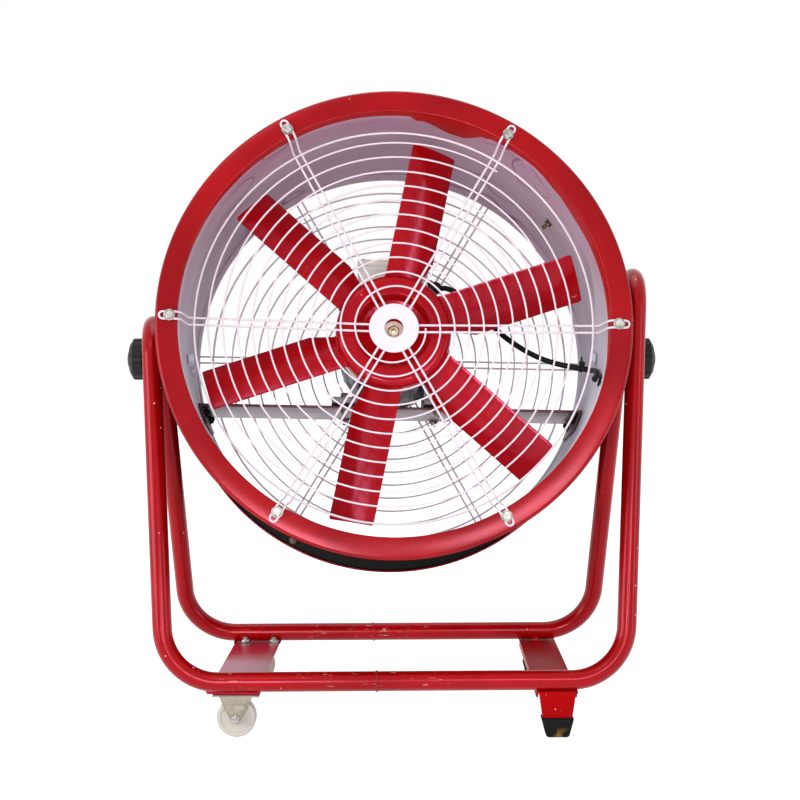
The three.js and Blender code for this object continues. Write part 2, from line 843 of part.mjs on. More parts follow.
// One spoke: a wire from the disc out over the rim, round its bolt and back.
function spokeStations(form) {
  const onFace = -spokeRadius - seatGap;
  const edge = collarInner + rimSheet + joggleShare * onFace;
  const bend = loopEnd - spokeRadius - loopHalfGap;
  const inner = guardDiscRadius - spokeLap;
  const outer = guardRingRadius + joggleRun;
  const leg = [
    [inner, spokeDepth(form, inner)], [outer, spokeDepth(form, outer)],
    [edge - 2 * spokeRadius, Math.min(2 * spokeRadius, form.recess)], [edge - onFace, onFace],
  ];
  const down = leg.map(([r, depth]) => vector(r, depth, -loopHalfGap));
  const back = leg.map(([r, depth]) => vector(r, depth, loopHalfGap)).reverse();
  const turn = [];
  for (let i = 0; i <= loopTurnSteps; i++) {
    const angle = -Math.PI / 2 + (Math.PI * i) / loopTurnSteps;
    turn.push(vector(bend + loopHalfGap * Math.cos(angle), onFace, loopHalfGap * Math.sin(angle)));
  }
  return [...down, ...turn, ...back];
}

function guardFrame(form) {
  const spokes = [];
  for (let i = 0; i < spokeCount; i++) {
    const spoke = rod(spokeStations(form), spokeRadius, wireSides);
    spokes.push(spoke.rotateY((2 * Math.PI * i) / spokeCount));
  }
  const ringDepth = spokeDepth(form, guardRingRadius) - 2 * spokeRadius + weldBite;
  const ring = new THREE.TorusGeometry(guardRingRadius, spokeRadius, wireSides, guardRingFacets);
  ring.rotateX(Math.PI / 2).translate(0, ringDepth, 0);
  const discBack = spokeDepth(form, guardDiscRadius) - spokeRadius + weldBite;
  const disc = turned([
    [guardHoleRadius, discBack - guardDiscSheet], [guardDiscRadius, discBack - guardDiscSheet],
    [guardDiscRadius, discBack], [guardHoleRadius, discBack],
  ], guardDiscFacets);
  return geometryOf(joined(disc, ring, ...spokes));
}

function guard(parent, name, form, flip) {
  const group = new THREE.Group();
  if (flip) {
    group.position.y = drumLength;
    group.rotation.z = Math.PI;
  }
  parent.add(group);
  add(group, "guard_frame_" + name, guardFrame(form), finish.whiteWire);
  const spiral = rod(spiralStations(form), wireRadius, wireSides);
  add(group, "guard_spiral_" + name, spiral, finish.whiteWire);
}

// A flat sheet bent along its length, bulging to the front, before it is trimmed to its outline.
function camberedSheet() {
  const half = bladeChord / 2 + cutOver;
  const radius = (half ** 2 + bladeCamber ** 2) / (2 * bladeCamber);
  const reach = Math.asin(half / radius);
  const section = [];
  for (const [r, turn] of [[radius + bladeSheet / 2, 1], [radius - bladeSheet / 2, -1]]) {
    for (let i = 0; i <= bladeSteps; i++) {
      const angle = turn * reach * (1 - (2 * i) / bladeSteps);
      section.push([r * Math.sin(angle), r * Math.cos(angle) - radius]);
    }
  }
  const length = bladeTip + cutOver - hubRadius / 2;
  const sheet = slab(polygon(section), length);
  const toRadial = new THREE.Matrix4();
  toRadial.makeBasis(vector(0, 1, 0), vector(0, 0, 1), vector(1, 0, 0));
  return sheet.applyMatrix4(toRadial).translate(hubRadius / 2, -bladeLead, 0);
}

// The blade's outline over its chord: a straight strip, cut back at the root, round at its tip corners.
function bladeOutline() {
  const half = bladeChord / 2;
  const root = hubRadius / 2;
  const r = bladeCornerRadius;
  const shape = new THREE.Shape();
  shape.moveTo(root, half);
  shape.lineTo(root, -half + bladeRootNarrow);
  shape.lineTo(hubRadius, -half + bladeRootNarrow);
  shape.lineTo(hubRadius + bladeRootCut, -half);
  shape.lineTo(bladeTip - r, -half);
  shape.quadraticCurveTo(bladeTip, -half, bladeTip, -half + r);
  shape.lineTo(bladeTip, half - r);
  shape.quadraticCurveTo(bladeTip, half, bladeTip - r, half);
  return shape;
}

function bladeGeometry() {
  const prism = slab(bladeOutline(), 2 * bladeChord).translate(0, -bladeLead, -bladeChord);
  const pitch = Math.PI / 2 + THREE.MathUtils.degToRad(bladePitchDegrees);
  const sheet = solidOf(camberedSheet()).intersect(solidOf(prism));
  const pitched = geometryOf(sheet).rotateX(pitch);
  const hubSpace = drumY(hubRadius + seatGap, -bladeChord, bladeChord, 3 * hubFacets);
  return cutBy(pitched, hubSpace);
}

// A pressed cup with a dished face and a thick boss on the shaft.
function hubGeometry() {
  const outerBend = [];
  const innerBend = [];
  for (let i = 0; i <= hubBendSteps; i++) {
    const angle = (Math.PI / 2) * (i / hubBendSteps);
    const [out, back] = [Math.sin(angle), 1 - Math.cos(angle)];
    const innerRadius = hubBend - hubWall;
    outerBend.push([hubFaceRadius + hubBend * out, -hubFront + hubBend * back]);
    innerBend.push([hubFaceRadius + innerRadius * out, -hubFront + hubWall + innerRadius * back]);
  }
  const dish = -hubFront + hubDishDepth;
  const bore = shaftRadius + seatGap;
  return turned([
    [bore, dish], [hubDishRadius, dish], [hubDishRadius + hubDishFlare, -hubFront], ...outerBend,
    [hubRadius, hubBack], [hubRadius - hubWall, hubBack], ...innerBend.reverse(),
    [hubDishRadius + hubDishFlare + hubWall, -hubFront + hubWall], [hubDishRadius, dish + hubWall],
    [hubBossRadius, dish + hubWall], [hubBossRadius, hubBack], [bore, hubBack],
  ], hubFacets);
}

function shaftEnd() {
  return bladePlane - hubFront + hubDishDepth;
}

function fanShaft(impeller) {
  const from = shaftEnd() - bladePlane + seatGap;
  const to = motorBack - bladePlane - shieldThickness / 3;
  const body = drumY(shaftRadius, from, to, bossFacets);
  const hole = drumY(shaftBoltRadius + seatGap, from - cutOver, from + shaftBoltDepth, smallFacets);
  add(impeller, "fan_shaft", cutBy(body, hole), finish.steel);
}

function shaftFasteners(impeller) {
  const seat = shaftEnd() - bladePlane - seatGap;
  const bore = holeRadius(shaftBoltRadius, smallFacets);
  const washer = turned([
    [bore, seat - shaftWasherThickness], [shaftWasherRadius, seat - shaftWasherThickness],
    [shaftWasherRadius, seat], [bore, seat],
  ], smallFacets);
  add(impeller, "shaft_washer", washer, finish.steel);
  const under = seat - shaftWasherThickness - seatGap;
  const head = drumY(shaftBoltHead, under - shaftBoltHeight, under, hexSides);
  const shank = drumY(shaftBoltRadius, under - seatGap, seat + shaftBoltDepth - cutOver, smallFacets);
  add(impeller, "shaft_bolt", geometryOf(joined(head, shank)), finish.steel);
}

function statorSpan() {
  return [motorFront + shieldThickness + statorMargin, motorBack - shieldThickness - statorMargin];
}

function rotorRadius() {
  return frameRootRadius - frameWall - statorWall - airGap;
}

function motorRotor(impeller) {
  const [from, to] = statorSpan();
  const bore = shaftRadius + seatGap;
  const body = turned([
    [bore, from - bladePlane], [rotorRadius(), from - bladePlane],
    [rotorRadius(), to - bladePlane], [bore, to - bladePlane],
  ], motorFacets);
  add(impeller, "motor_rotor", body, finish.core);
}

function makeImpeller() {
  const impeller = new THREE.Group();
  impeller.position.y = bladePlane;
  add(impeller, "fan_hub", hubGeometry(), finish.redPaint);
  for (let i = 0; i < bladeCount; i++) {
    const angle = THREE.MathUtils.degToRad(bladePhaseDegrees) + (2 * Math.PI * i) / bladeCount;
    const blade = add(impeller, "fan_blade_" + (i + 1), bladeGeometry(), finish.redPaint);
    blade.rotation.y = -angle;
  }
  fanShaft(impeller);
  motorRotor(impeller);
  shaftFasteners(impeller);
  return impeller;
}

// The finned frame section, seen along the shaft, with its bore.
function frameSection() {
  const points = [];
  const step = (2 * Math.PI) / finCount;
  for (let i = 0; i < finCount; i++) {
    const low = (0.5 - finShare / 2) * step;
    const tip = low + step * finSlopeShare;
    const corners = [
      [-low, frameRootRadius], [low, frameRootRadius], [tip, finTipRadius], [step - tip, finTipRadius],
    ];
    for (const [angle, radius] of corners) {
      const at = i * step + angle;
      points.push([radius * Math.cos(at), radius * Math.sin(at)]);
    }
  }
  const shape = polygon(points);
  shape.holes.push(circleShape(frameRootRadius - frameWall, finCount));
  return shape;
}

// One foot: a flat pad, and a web whose slanted top runs into the frame's wall.
function footPieces(side) {
  const from = motorFront + footFirst;
  const inner = footHalfSpacing - footWidth / 2;
  const outer = footHalfSpacing + footWidth / 2;
  const pad = block(
    vector(Math.min(side * inner, side * outer), from, -shaftHeight),
    vector(Math.max(side * inner, side * outer), from + footLength, -shaftHeight + footThickness),
  );
  const low = -shaftHeight + footThickness / 2;
  const webOuter = inner + footWeb;
  const middle = frameRootRadius - frameWall / 2;
  const outline = [
    [inner, low], [webOuter, low], [webOuter, -Math.sqrt(middle ** 2 - webOuter ** 2)],
    [inner, -Math.sqrt(middle ** 2 - inner ** 2)],
  ];
  const sided = side < 0 ? outline.map(([x, z]) => [-x, z]).reverse() : outline;
  const web = slab(polygon(sided), footLength).rotateX(Math.PI / 2);
  return [pad, web.translate(0, from + footLength, 0)];
}

function motorBoltPlaces() {
  const first = motorFront + footFirst + (footLength - footHoleSpan) / 2;
  return [[-1, 0], [1, 0], [-1, 1], [1, 1]].map(([side, row]) => [
    side * footHalfSpacing,
    first + row * footHoleSpan,
  ]);
}

function boltHoles(radius, from, to) {
  return motorBoltPlaces().map(([x, y]) => drumZ(radius, from, to, boltFacets).translate(x, y, 0));
}

function motorFrame(inside) {
  const from = motorFront + shieldThickness + seatGap;
  const tube = slab(frameSection(), frameLength - 2 * seatGap).rotateX(-Math.PI / 2);
  const body = joined(tube.translate(0, from, 0), ...footPieces(-1), ...footPieces(1));
  const sole = -shaftHeight;
  const holes = boltHoles(motorBoltRadius + boltPlay, sole - cutOver, sole + 2 * footThickness);
  const bored = holes.map(solidOf).reduce((rest, next) => rest.subtract(next), body);
  add(inside, "motor_frame", geometryOf(bored), finish.motorGrey);
}

// An end shield: a stepped disc that holds a bearing and lets the shaft through at the front.
function motorShield(inside, name, flip) {
  const thick = shieldThickness;
  const through = holeRadius(shaftRadius + seatGap, motorFacets);
  const seat = holeRadius(bearingRadius, motorFacets);
  const outline = flip ? [[0, -shieldNoseStep]] : [[through, -shieldNoseStep]];
  outline.push(
    [shieldNoseRadius, -shieldNoseStep], [shieldNoseRadius + shieldNoseStep, 0],
    [shieldRadius - shieldNoseStep, 0], [shieldRadius, shieldNoseStep], [shieldRadius, thick],
    [seat, thick],
  );
  outline.push(...(flip ? [[seat, 0], [0, 0]] : [[seat, 0], [through, 0]]));
  const group = new THREE.Group();
  group.position.y = flip ? motorBack : motorFront;
  if (flip) group.rotation.z = Math.PI;
  inside.add(group);
  add(group, "motor_shield_" + name, turned(outline, motorFacets), finish.motorGrey);
}

function bearing(inside, name, at) {
  const bore = holeRadius(shaftRadius, smallFacets);
  const body = turned([
    [bore, at], [bearingRadius, at], [bearingRadius, at + bearingWidth], [bore, at + bearingWidth],
  ], smallFacets);
  add(inside, "bearing_" + name, body, finish.steel);
}

function motorStator(inside) {
  const [from, to] = statorSpan();
  const outer = (frameRootRadius - frameWall) * Math.cos(Math.PI / finCount) - seatGap;
  const inner = rotorRadius() + airGap;
  const body = turned([[inner, from], [outer, from], [outer, to], [inner, to]], motorFacets);
  add(inside, "motor_stator", body, finish.core);
}

function motorPad(inside, side, name) {
  const from = motorFront + footFirst;
  const x0 = side * (footHalfSpacing - footWidth / 2);
  const x1 = side * (footHalfSpacing + footWidth / 2);
  const top = -shaftHeight - seatGap;
  const body = block(
    vector(Math.min(x0, x1), from, top - padThickness),
    vector(Math.max(x0, x1), from + footLength, top),
  );
  const holes = boltHoles(motorBoltRadius + boltPlay, top - padThickness - cutOver, top + cutOver);
  add(inside, "motor_pad_" + name, cutBy(body, ...holes), finish.rubber);
}

function motorBolts(inside) {
  const footTop = -shaftHeight + footThickness + seatGap;
  const plateUnder = plateTop - plateSheet - seatGap;
  motorBoltPlaces().forEach(([x, y], i) => {
    const end = plateUnder - 2 * motorBoltHeadHeight;
    const head = drumZ(motorBoltHead, footTop, footTop + motorBoltHeadHeight, hexSides);
    const shank = drumZ(motorBoltRadius, end, footTop + seatGap, boltFacets);
    const nut = drumZ(motorBoltHead, plateUnder - motorBoltHeadHeight, plateUnder, hexSides);
    const body = geometryOf(joined(head, shank, nut)).translate(x, y, 0);
    add(inside, "motor_bolt_" + (i + 1), body, finish.steel);
  });
}

// The motor plate spans the drum, and its bent ends lie on the wall.
function motorPlate(inside) {
  const wall = shellClear - seatGap;
  const first = Math.asin(-plateTop / wall);
  const last = first + plateFlange / wall;
  const top = vector(wall * Math.cos(first), -wall * Math.sin(first), 0);
  const low = vector(wall * Math.cos(last), -wall * Math.sin(last), 0);
  const along = low.clone().sub(top).normalize();
  const inward = vector(along.y, -along.x, 0).multiplyScalar(plateSheet);
  const lowIn = low.clone().add(inward);
  const under = plateTop - plateSheet;
  const bendX = lowIn.x + (along.x / along.y) * (under - lowIn.y);
  const half = [[top.x, top.y], [low.x, low.y], [lowIn.x, lowIn.y], [bendX, under]];
  const mirrored = half.map(([x, y]) => [-x, y]).reverse();
  const sheet = slab(polygon([...half, ...mirrored]), plateDepth).rotateX(Math.PI / 2);
  sheet.translate(0, plateFront + plateDepth, 0);
  const holes = boltHoles(motorBoltRadius + boltPlay, under - cutOver, plateTop + cutOver);
  add(inside, "motor_plate", cutBy(sheet, ...holes), finish.zinc);
}

function roundedRectangle(halfWidth, halfLength, radius) {
  const shape = new THREE.Shape();
  const corners = [[1, 1], [-1, 1], [-1, -1], [1, -1]];
  corners.forEach(([x, y], quarter) => {
    const from = (quarter * Math.PI) / 2;
    const middle = [x * (halfWidth - radius), y * (halfLength - radius)];
    shape.absarc(...middle, radius, from, from + Math.PI / 2, false);
  });
  return shape;
}

function terminalBox(inside) {
  const middle = boxFront + boxLength / 2;
  const body = slab(roundedRectangle(boxHalfWidth, boxLength / 2, boxCorner), boxTop - boxBottom);
  body.translate(0, middle, boxBottom);
  const boxBack = boxFront + boxLength;
  const saddle = drumY(finTipRadius + 2 * seatGap, boxFront - cutOver, boxBack + cutOver, drumFacets);
  add(inside, "terminal_box", cutBy(body, saddle), finish.cream);
  const edge = roundedRectangle(boxHalfWidth + lidLip, boxLength / 2 + lidLip, boxCorner + lidLip);
  const lid = slab(edge, lidSheet).translate(0, middle, boxTop + seatGap);
  add(inside, "terminal_lid", lid, finish.cream);
}

function cableGland(inside) {
  const start = boxHalfWidth + seatGap;
  const neck = start + glandHexLength;
  const hex = drumX(glandHexRadius, start, neck, hexSides);
  const dome = turned([
    [0, neck - cutOver], [glandDomeRadius, neck - cutOver], [glandDomeRadius, neck + glandDomeLength / 2],
    [glandDomeRadius - cableRadius, neck + glandDomeLength], [0, neck + glandDomeLength],
  ], boreFacets).rotateZ(-Math.PI / 2);
  const body = geometryOf(joined(hex, dome)).translate(0, boxFront + boxLength / 2, glandHeight);
  add(inside, "cable_gland", body, finish.blackPlastic);
}

// The cable's route inside the drum, from the gland to the grommet: across the wind, then on the wall.
const cableRoute = [
  [75.6, 220, 97], [84, 220, 97], [101, 216, 89], [122, 208, 70], [143, 198, 46], [164, 186, 22],
  [187, 172, 1], [208, 161, -14], [230, 150, -26], [252, 141, -34], [272, 133, -39], [287, 125, -43],
  [294.5, 112, -47], [297, 98, -50], [297, 84, -55], [294.5, 70, -62], [289.6, 56, -68.5],
  [288.9, 48.3, -71], [290.9, 48, -71.5],
];

function powerCable(inside) {
  const stations = cableRoute.map(([x, y, z]) => vector(x, y, z));
  const smooth = new THREE.CatmullRomCurve3(stations).getPoints(cableSteps);
  add(inside, "power_cable", rod(smooth, cableRadius, cableSides), finish.rubber);
}

// A rubber grommet in the shell's cable hole.
function wallGrommet(inside) {
  const low = shellBore - seatGap - grommetFlange;
  const high = shellOuter + seatGap;
  const inner = drumX(grommetRadius, low - grommetFlange, low, boreFacets);
  const neck = drumX(grommetHole, low - seatGap, high + seatGap, boreFacets);
  const outer = drumX(grommetRadius, high, high + grommetFlange, boreFacets);
  const mesh = add(inside, "wall_grommet", geometryOf(joined(inner, neck, outer)), finish.rubber);
  mesh.position.y = grommetDepth;
  mesh.rotation.y = -THREE.MathUtils.degToRad(grommetDegrees);
}

function makeDrum() {
  const drum = new THREE.Group();
  drum.position.set(0, -drumCentreBehind, pivotHeight);
  drum.rotation.x = -tilt;
  const duct = new THREE.Group();
  duct.position.set(0, pivotAhead - drumLength / 2, axisRise);
  drum.add(duct);
  drumShell(duct);
  rimRing(duct, "front", false);
  rimRing(duct, "rear", true);
  for (const [name, side] of [["left", -1], ["right", 1]]) {
    trunnion(drum, side, name);
    pivotBolt(drum, side, name);
    pivotWasher(drum, side, name);
    knob(drum, side, name);
  }
  const inside = new THREE.Group();
  inside.rotation.y = THREE.MathUtils.degToRad(clockDegrees);
  duct.add(inside);
  guard(inside, "front", frontGuard, false);
  guard(inside, "rear", rearGuard, true);
  motorPlate(inside);
  motorPad(inside, -1, "left");
  motorPad(inside, 1, "right");
  motorFrame(inside);
  motorShield(inside, "front", false);
  motorShield(inside, "rear", true);
  motorStator(inside);
  bearing(inside, "front", motorFront + shieldThickness - bearingWidth);
  bearing(inside, "rear", motorBack - shieldThickness);
  motorBolts(inside);
  terminalBox(inside);
  cableGland(inside);
  powerCable(inside);
  wallGrommet(inside);
  duct.add(makeImpeller());
  return drum;
}

const fan = new THREE.Group();
fan.add(makeStand(), makeDrum());
console.log("least gap between the guard's turns " + spiralGap().toFixed(1) + " mm");

export default fan;
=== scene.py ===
# Looks for a portable drum fan: its finishes, its rounded pieces and its small fasteners.
# Metres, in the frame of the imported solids. The front is -Y and the floor is at Z = 0.
import json
import math

import bpy
from mathutils import Matrix, Vector


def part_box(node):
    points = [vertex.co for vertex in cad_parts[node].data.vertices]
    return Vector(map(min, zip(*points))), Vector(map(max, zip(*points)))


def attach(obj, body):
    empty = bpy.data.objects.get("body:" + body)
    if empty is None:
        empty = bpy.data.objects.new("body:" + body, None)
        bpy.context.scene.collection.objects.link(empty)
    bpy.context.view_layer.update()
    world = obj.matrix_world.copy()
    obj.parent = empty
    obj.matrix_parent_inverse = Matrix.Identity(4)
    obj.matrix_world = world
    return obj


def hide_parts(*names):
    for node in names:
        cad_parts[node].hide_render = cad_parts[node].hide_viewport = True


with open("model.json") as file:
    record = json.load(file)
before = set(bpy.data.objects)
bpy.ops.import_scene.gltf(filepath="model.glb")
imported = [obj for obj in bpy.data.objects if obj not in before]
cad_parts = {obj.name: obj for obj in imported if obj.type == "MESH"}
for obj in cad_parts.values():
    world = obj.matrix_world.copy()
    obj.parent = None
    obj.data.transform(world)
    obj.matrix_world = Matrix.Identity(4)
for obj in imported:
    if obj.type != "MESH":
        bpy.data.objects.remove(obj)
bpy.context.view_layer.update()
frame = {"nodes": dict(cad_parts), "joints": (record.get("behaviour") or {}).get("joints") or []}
joints = {joint["name"]: joint for joint in frame["joints"]}

# Drum
drum_length = 0.3445
shell_bore = 0.3075
shell_wall = 0.0022
shell_outer = shell_bore + shell_wall
rim_radius = 0.337
rim_sheet = 0.002
collar_depth = 0.030
lip_depth = 0.013
rim_bend = 0.005
collar_bend = 0.002
seat_gap = 0.0003
collar_inner = shell_bore - seat_gap - rim_sheet
drum_steps = 180
seam_steps = 60
seam_wander = 0.0004
seam_bite = 0.0002
cable_hole_depth = 0.03
trunnion_rounding = 0.0008
rim_screw_radius = 0.325
rim_screw_angle = math.radians(118.5)
wall_screw_spot = {"angle": math.radians(37.9), "depth": 0.1785}
wall_nut_spot = {"angle": math.radians(-173.2), "depth": 0.215}

# How the drum hangs
pivot_ahead = 0.021
axis_rise = 0.0282
clock = math.radians(1.2)
pivot = Vector(joints["drum_tilt"]["pos_m"])
spin_axis = Vector(joints["impeller_spin"]["axis"])
tilt = math.atan2(-spin_axis.z, spin_axis.y)

# Stand
tube_radius = 0.014
bar_height = 0.078
bar_half_spread = 0.172
foot_half_width = 0.324
pivot_half_width = 0.3516
hairpin_radius = 0.057
left_top = 0.5895
right_top = 0.660
corner_radius = 0.080
weld_offset = -0.0266
plate_height = 0.056
plate_thickness = 0.005
plate_slack = 0.0015
pivot_hole = 0.0064
pivot_hole_depth = 0.02
pivot_plate_rounding = 0.0006
pivot_weld_bite = 0.001
hairpin_steps = 40
bar_weld_bite = 0.0004
bar_weld_wander = 0.0006
bar_underside = bar_height - tube_radius - seat_gap

# Guards
wire_radius = 0.0013
spoke_radius = 0.0016
spiral_start = 0.0456
spiral_end = 0.2725
spiral_turns = 10.84
guard_ring = 0.285
guard_disc = 0.036
guard_hole = 0.0137
disc_sheet = 0.002
loop_half_gap = 0.005
loop_end = 0.332
joggle_start = 0.293
joggle_bend = 0.0035
spoke_inner = 0.024
spoke_count = 6
weld_bite = 0.0005
guard_bolt_radius = 0.316
front_guard = {"recess": 0.039, "dish": 0.021}
rear_guard = {"recess": -(spoke_radius + seat_gap), "dish": 0.0}

# Impeller
blade_count = 6
blade_phase = math.radians(18)
blade_plane = 0.093
blade_tip = 0.284
blade_chord = 0.075
blade_lead = 0.007
blade_sheet = 0.003
blade_pitch = math.radians(31)
blade_camber = 0.005
blade_corner = 0.004
blade_root_cut = 0.034
blade_root_narrow = 0.017
blade_rounding = 0.0007
blade_weld_bite = 0.0014
blade_weld_lift = 0.0004
rivet_spot = (blade_tip - 0.010, -0.031, -0.0012)
rivet_outline = [(0.0016, -0.0004), (0.0042, -0.0004), (0.0044, 0.0005), (0.0016, 0.0005)]
hub_radius = 0.084
hub_face = 0.073
hub_dish = 0.049
hub_boss = 0.024
hub_front = 0.017
hub_back = 0.031
hub_dish_depth = 0.014
hub_dish_flare = 0.006
hub_wall = 0.004
hub_lip = 0.0022
hub_fold_radius = 0.0007
shaft_radius = 0.012
shaft_bolt_head = 0.0093
shaft_bolt_height = 0.007
shaft_bolt_radius = 0.005
shaft_bolt_dome = 0.0034
shaft_bolt_length = 0.019
shaft_washer_radius = 0.016
shaft_washer_sheet = 0.003
shaft_washer_bore = 0.0053

# Motor and its plate
shaft_height = 0.090
pad_thickness = 0.004
motor_front = 0.135
shield_thickness = 0.015
frame_length = 0.162
motor_back = motor_front + 2 * shield_thickness + frame_length
frame_root = 0.075
fin_tip = 0.082
fin_count = 20
fin_share = 0.36
frame_wall = 0.007
shield_radius = 0.080
shield_nose = 0.034
shield_step = 0.005
shield_rim_wall = 0.012
shield_screw_inset = 0.0115
shield_ribs = 8
shield_rib_depths = (-0.0022, 0.001)
shield_rib_half_width = 0.0018
shield_rib_inset = 0.006
shield_rib_rounding = 0.0009
foot_first = 0.057
foot_length = 0.118
foot_spacing = 0.070
foot_hole_span = 0.100
foot_width = 0.040
foot_thickness = 0.010
foot_web = 0.009
foot_rounding = 0.0022
foot_web_rounding = 0.0008
pad_rounding = 0.0007
foot_inner = foot_spacing - foot_width / 2
foot_outer = foot_spacing + foot_width / 2
foot_start = motor_front + foot_first
motor_bolt_head = 0.0075
motor_bolt_height = 0.0055
motor_bolt_radius = 0.004
plate_front = 0.190
plate_depth = 0.123
plate_sheet = 0.004
plate_flange = 0.034
plate_rounding = 0.0008
plate_top = -(shaft_height + pad_thickness + 2 * seat_gap)
plate_wall = shell_bore * math.cos(math.pi / 42) - seat_gap
end_bolt_share = 0.42

# Terminal box and cable
box_half_width = 0.053
box_front = 0.172
box_length = 0.096
box_bottom = 0.060
box_top = 0.123
box_corner = 0.009
box_bevel_angle = math.radians(60)
saddle_gap = 0.0005
saddle_margin = 0.01
lid_sheet = 0.006
lid_lip = 0.0015
lid_rounding = 0.004
lid_screw_inset = 0.009
lid_screw_sink = 0.0006
lid_screw_outline = [(0, 0), (0.0036, 0), (0.0038, -0.0006), (0.003, -0.0020),
                     (0.0014, -0.0024), (0, -0.0024)]
gland_height = 0.097
gland_hex = 0.013
gland_hex_length = 0.009
gland_dome = 0.010
gland_dome_length = 0.013
gland_grips = 12
gland_rounding = 0.0009
gland_grip_half_width = 0.0009
gland_grip_rounding = 0.0004
cable_radius = 0.0042
grommet_radius = 0.009
grommet_hole = 0.0065
grommet_flange = 0.002
grommet_rounding = 0.0006
grommet_depth = 0.048
grommet_angle = math.radians(-13.8)
tie_stop = 11
tie_band = 0.0011
tie_gap = 0.0008
tie_lock = ((-0.0042, -0.0036, -0.0022), (0.0042, 0.0036, 0.0040))
tie_lock_rounding = 0.0007
tie_tail_radius = 0.0014
cable_route = [
    (0.0756, 0.220, 0.097), (0.084, 0.220, 0.097), (0.101, 0.216, 0.089), (0.122, 0.208, 0.070),
    (0.143, 0.198, 0.046), (0.164, 0.186, 0.022), (0.187, 0.172, 0.001), (0.208, 0.161, -0.014),
    (0.230, 0.150, -0.026), (0.252, 0.141, -0.034), (0.272, 0.133, -0.039), (0.287, 0.125, -0.043),
    (0.2945, 0.112, -0.047), (0.297, 0.098, -0.050), (0.297, 0.084, -0.055), (0.2945, 0.070, -0.062),
    (0.2896, 0.056, -0.0685), (0.2889, 0.0483, -0.071), (0.2909, 0.048, -0.0715),
]

# Knobs, trunnions and pivot
knob_radius = 0.031
knob_head = 0.016
knob_dome = 0.008
knob_neck_radius = 0.014
knob_neck_length = 0.015
pivot_bore = 0.0063
knob_hollow = 0.0185
knob_flutes = 14
knob_flute_depth = 0.0018
knob_start = pivot_half_width + plate_thickness / 2 + seat_gap
pivot_washer_radius = 0.019
pivot_washer_sheet = 0.0025
pivot_bolt_head = 0.0105
pivot_bolt_height = 0.0070
pivot_bolt_radius = 0.006

# Left cross plate and casters
caster_plate_x = -0.221
caster_skew = math.radians(-2.6)
caster_plate_width = 0.072
caster_plate_sheet = 0.003
caster_plate_reach = 0.174
caster_plate_weld = 0.020
caster_plate_weld_start = 0.019
caster_plate_weld_lift = 0.0006
caster_plate_rounding = 0.0009
plate_bolt_shift = 0.005
plate_bolt_spread = 0.0225
plate_bolt_inset = 0.0165
cross_half_length = 0.184
caster_inset = 0.008
caster_offset = 0.00275
caster_shift = 0.00225
bracket_sheet = 0.0025
bracket_length = 0.066
bracket_width = 0.044
bracket_fold = 0.0019
bracket_rounding = 0.0008
bracket_fold_sink = 0.0004
ear_top = 0.047
ear_knee = 0.040
ear_drop = 0.010
ear_tip = 0.007
ear_rounding = 0.0006
rib_sheet = 0.0011
rib_half_width = 0.0145
rib_drop = 0.0135
rib_rounding = 0.0005
rib_sink = 0.0002
wheel_radius = 0.0274
wheel_width = 0.020
wheel_hub = 0.010
wheel_recess = 0.0015
wheel_rim = 0.021
wheel_chamfer = 0.002
axle_radius = 0.004
axle_head = 0.0065
axle_head_height = 0.0045
axle_dome = 0.0030
axle_slack = 0.0009
caster_top = bar_underside - caster_plate_sheet - seat_gap
caster_drop = caster_top - wheel_radius
bracket_inner = wheel_width / 2 + 2 * seat_gap + wheel_recess
bracket_outer = bracket_inner + bracket_sheet

# Right cross channel and shoes
channel_x = 0.233
channel_skew = math.radians(-1.8)
channel_bolt_x = -0.004
channel_bolt_inset = 0.0235
channel_rounding = 0.0011
shoe_top = 0.027
shoe_top_width = 0.046
shoe_bottom_width = 0.034
shoe_length = 0.026
shoe_corner = 0.005
shoe_rounding = 0.0016
leg_depth = 0.016

# Bolts: head radius and height, washer radius and sheet, and how far the thread stands out
bolt_sizes = {
    "caster_plate_bolt": (0.0068, 0.0058, 0.0086, 0.0014, 0.004),
    "channel_bolt": (0.0065, 0.0045, 0.009, 0.0014, 0.003),
    "guard_bolt": (0.0071, 0.0046, 0.0082, 0.0012),
    "shield_screw": (0.0052, 0.0036, 0.0062, 0.0009),
    "motor_head": (motor_bolt_head, motor_bolt_height),
    "motor_nut": (motor_bolt_head, motor_bolt_height - 0.0012, 0.0092, 0.0012, 0.0045),
    "plate_end_bolt": (0.0068, 0.005, 0.0085, 0.0012, 0.003),
    "axle_head": (axle_head, axle_head_height - 0.0016),
    "axle_nut": (axle_head, axle_head_height - 0.0020),
    "pivot_head": (pivot_bolt_head, pivot_bolt_height),
    "shaft_head": (shaft_bolt_head, shaft_bolt_height - 0.0014),
    "wall_screw_inside": (0.0062, 0.0042, 0.0085, 0.001, 0.009),
    "wall_nut_inside": (0.0062, 0.0042, 0.0085, 0.001, 0.002),
    "rim_screw": (0.0048, 0.0032, 0.0058, 0.0009, 0.0036),
}

# Domed caps on bolt heads: how deep they are let in, and their share of the head's radius
dome_seat = 0.0036
dome_share = 0.8

# Weld beads: radius, how much they swell and thin, and how fast
bar_bead = (0.0016, 0.22, 2.2)
pivot_plate_bead = (0.0022, 0.2, 2.9)
caster_plate_bead = (0.0017, 0.25, 2.4)
blade_bead = (0.0019, 0.22, 2.1)
seam_bead = (0.0017, 0.16, 2.4)
outer_seam_bead = (0.0015, 0.16, 1.9)

# Studio
camera_lens = 72
camera_sensor = 36
camera_spot = (-0.0583, -2.4190, 0.6048)
camera_turn = (math.pi / 2 - 0.059, 0, -0.029)
room_light = 0.4
floor_glow = 0.8
lamp_aim = (0, 0, 0.5)

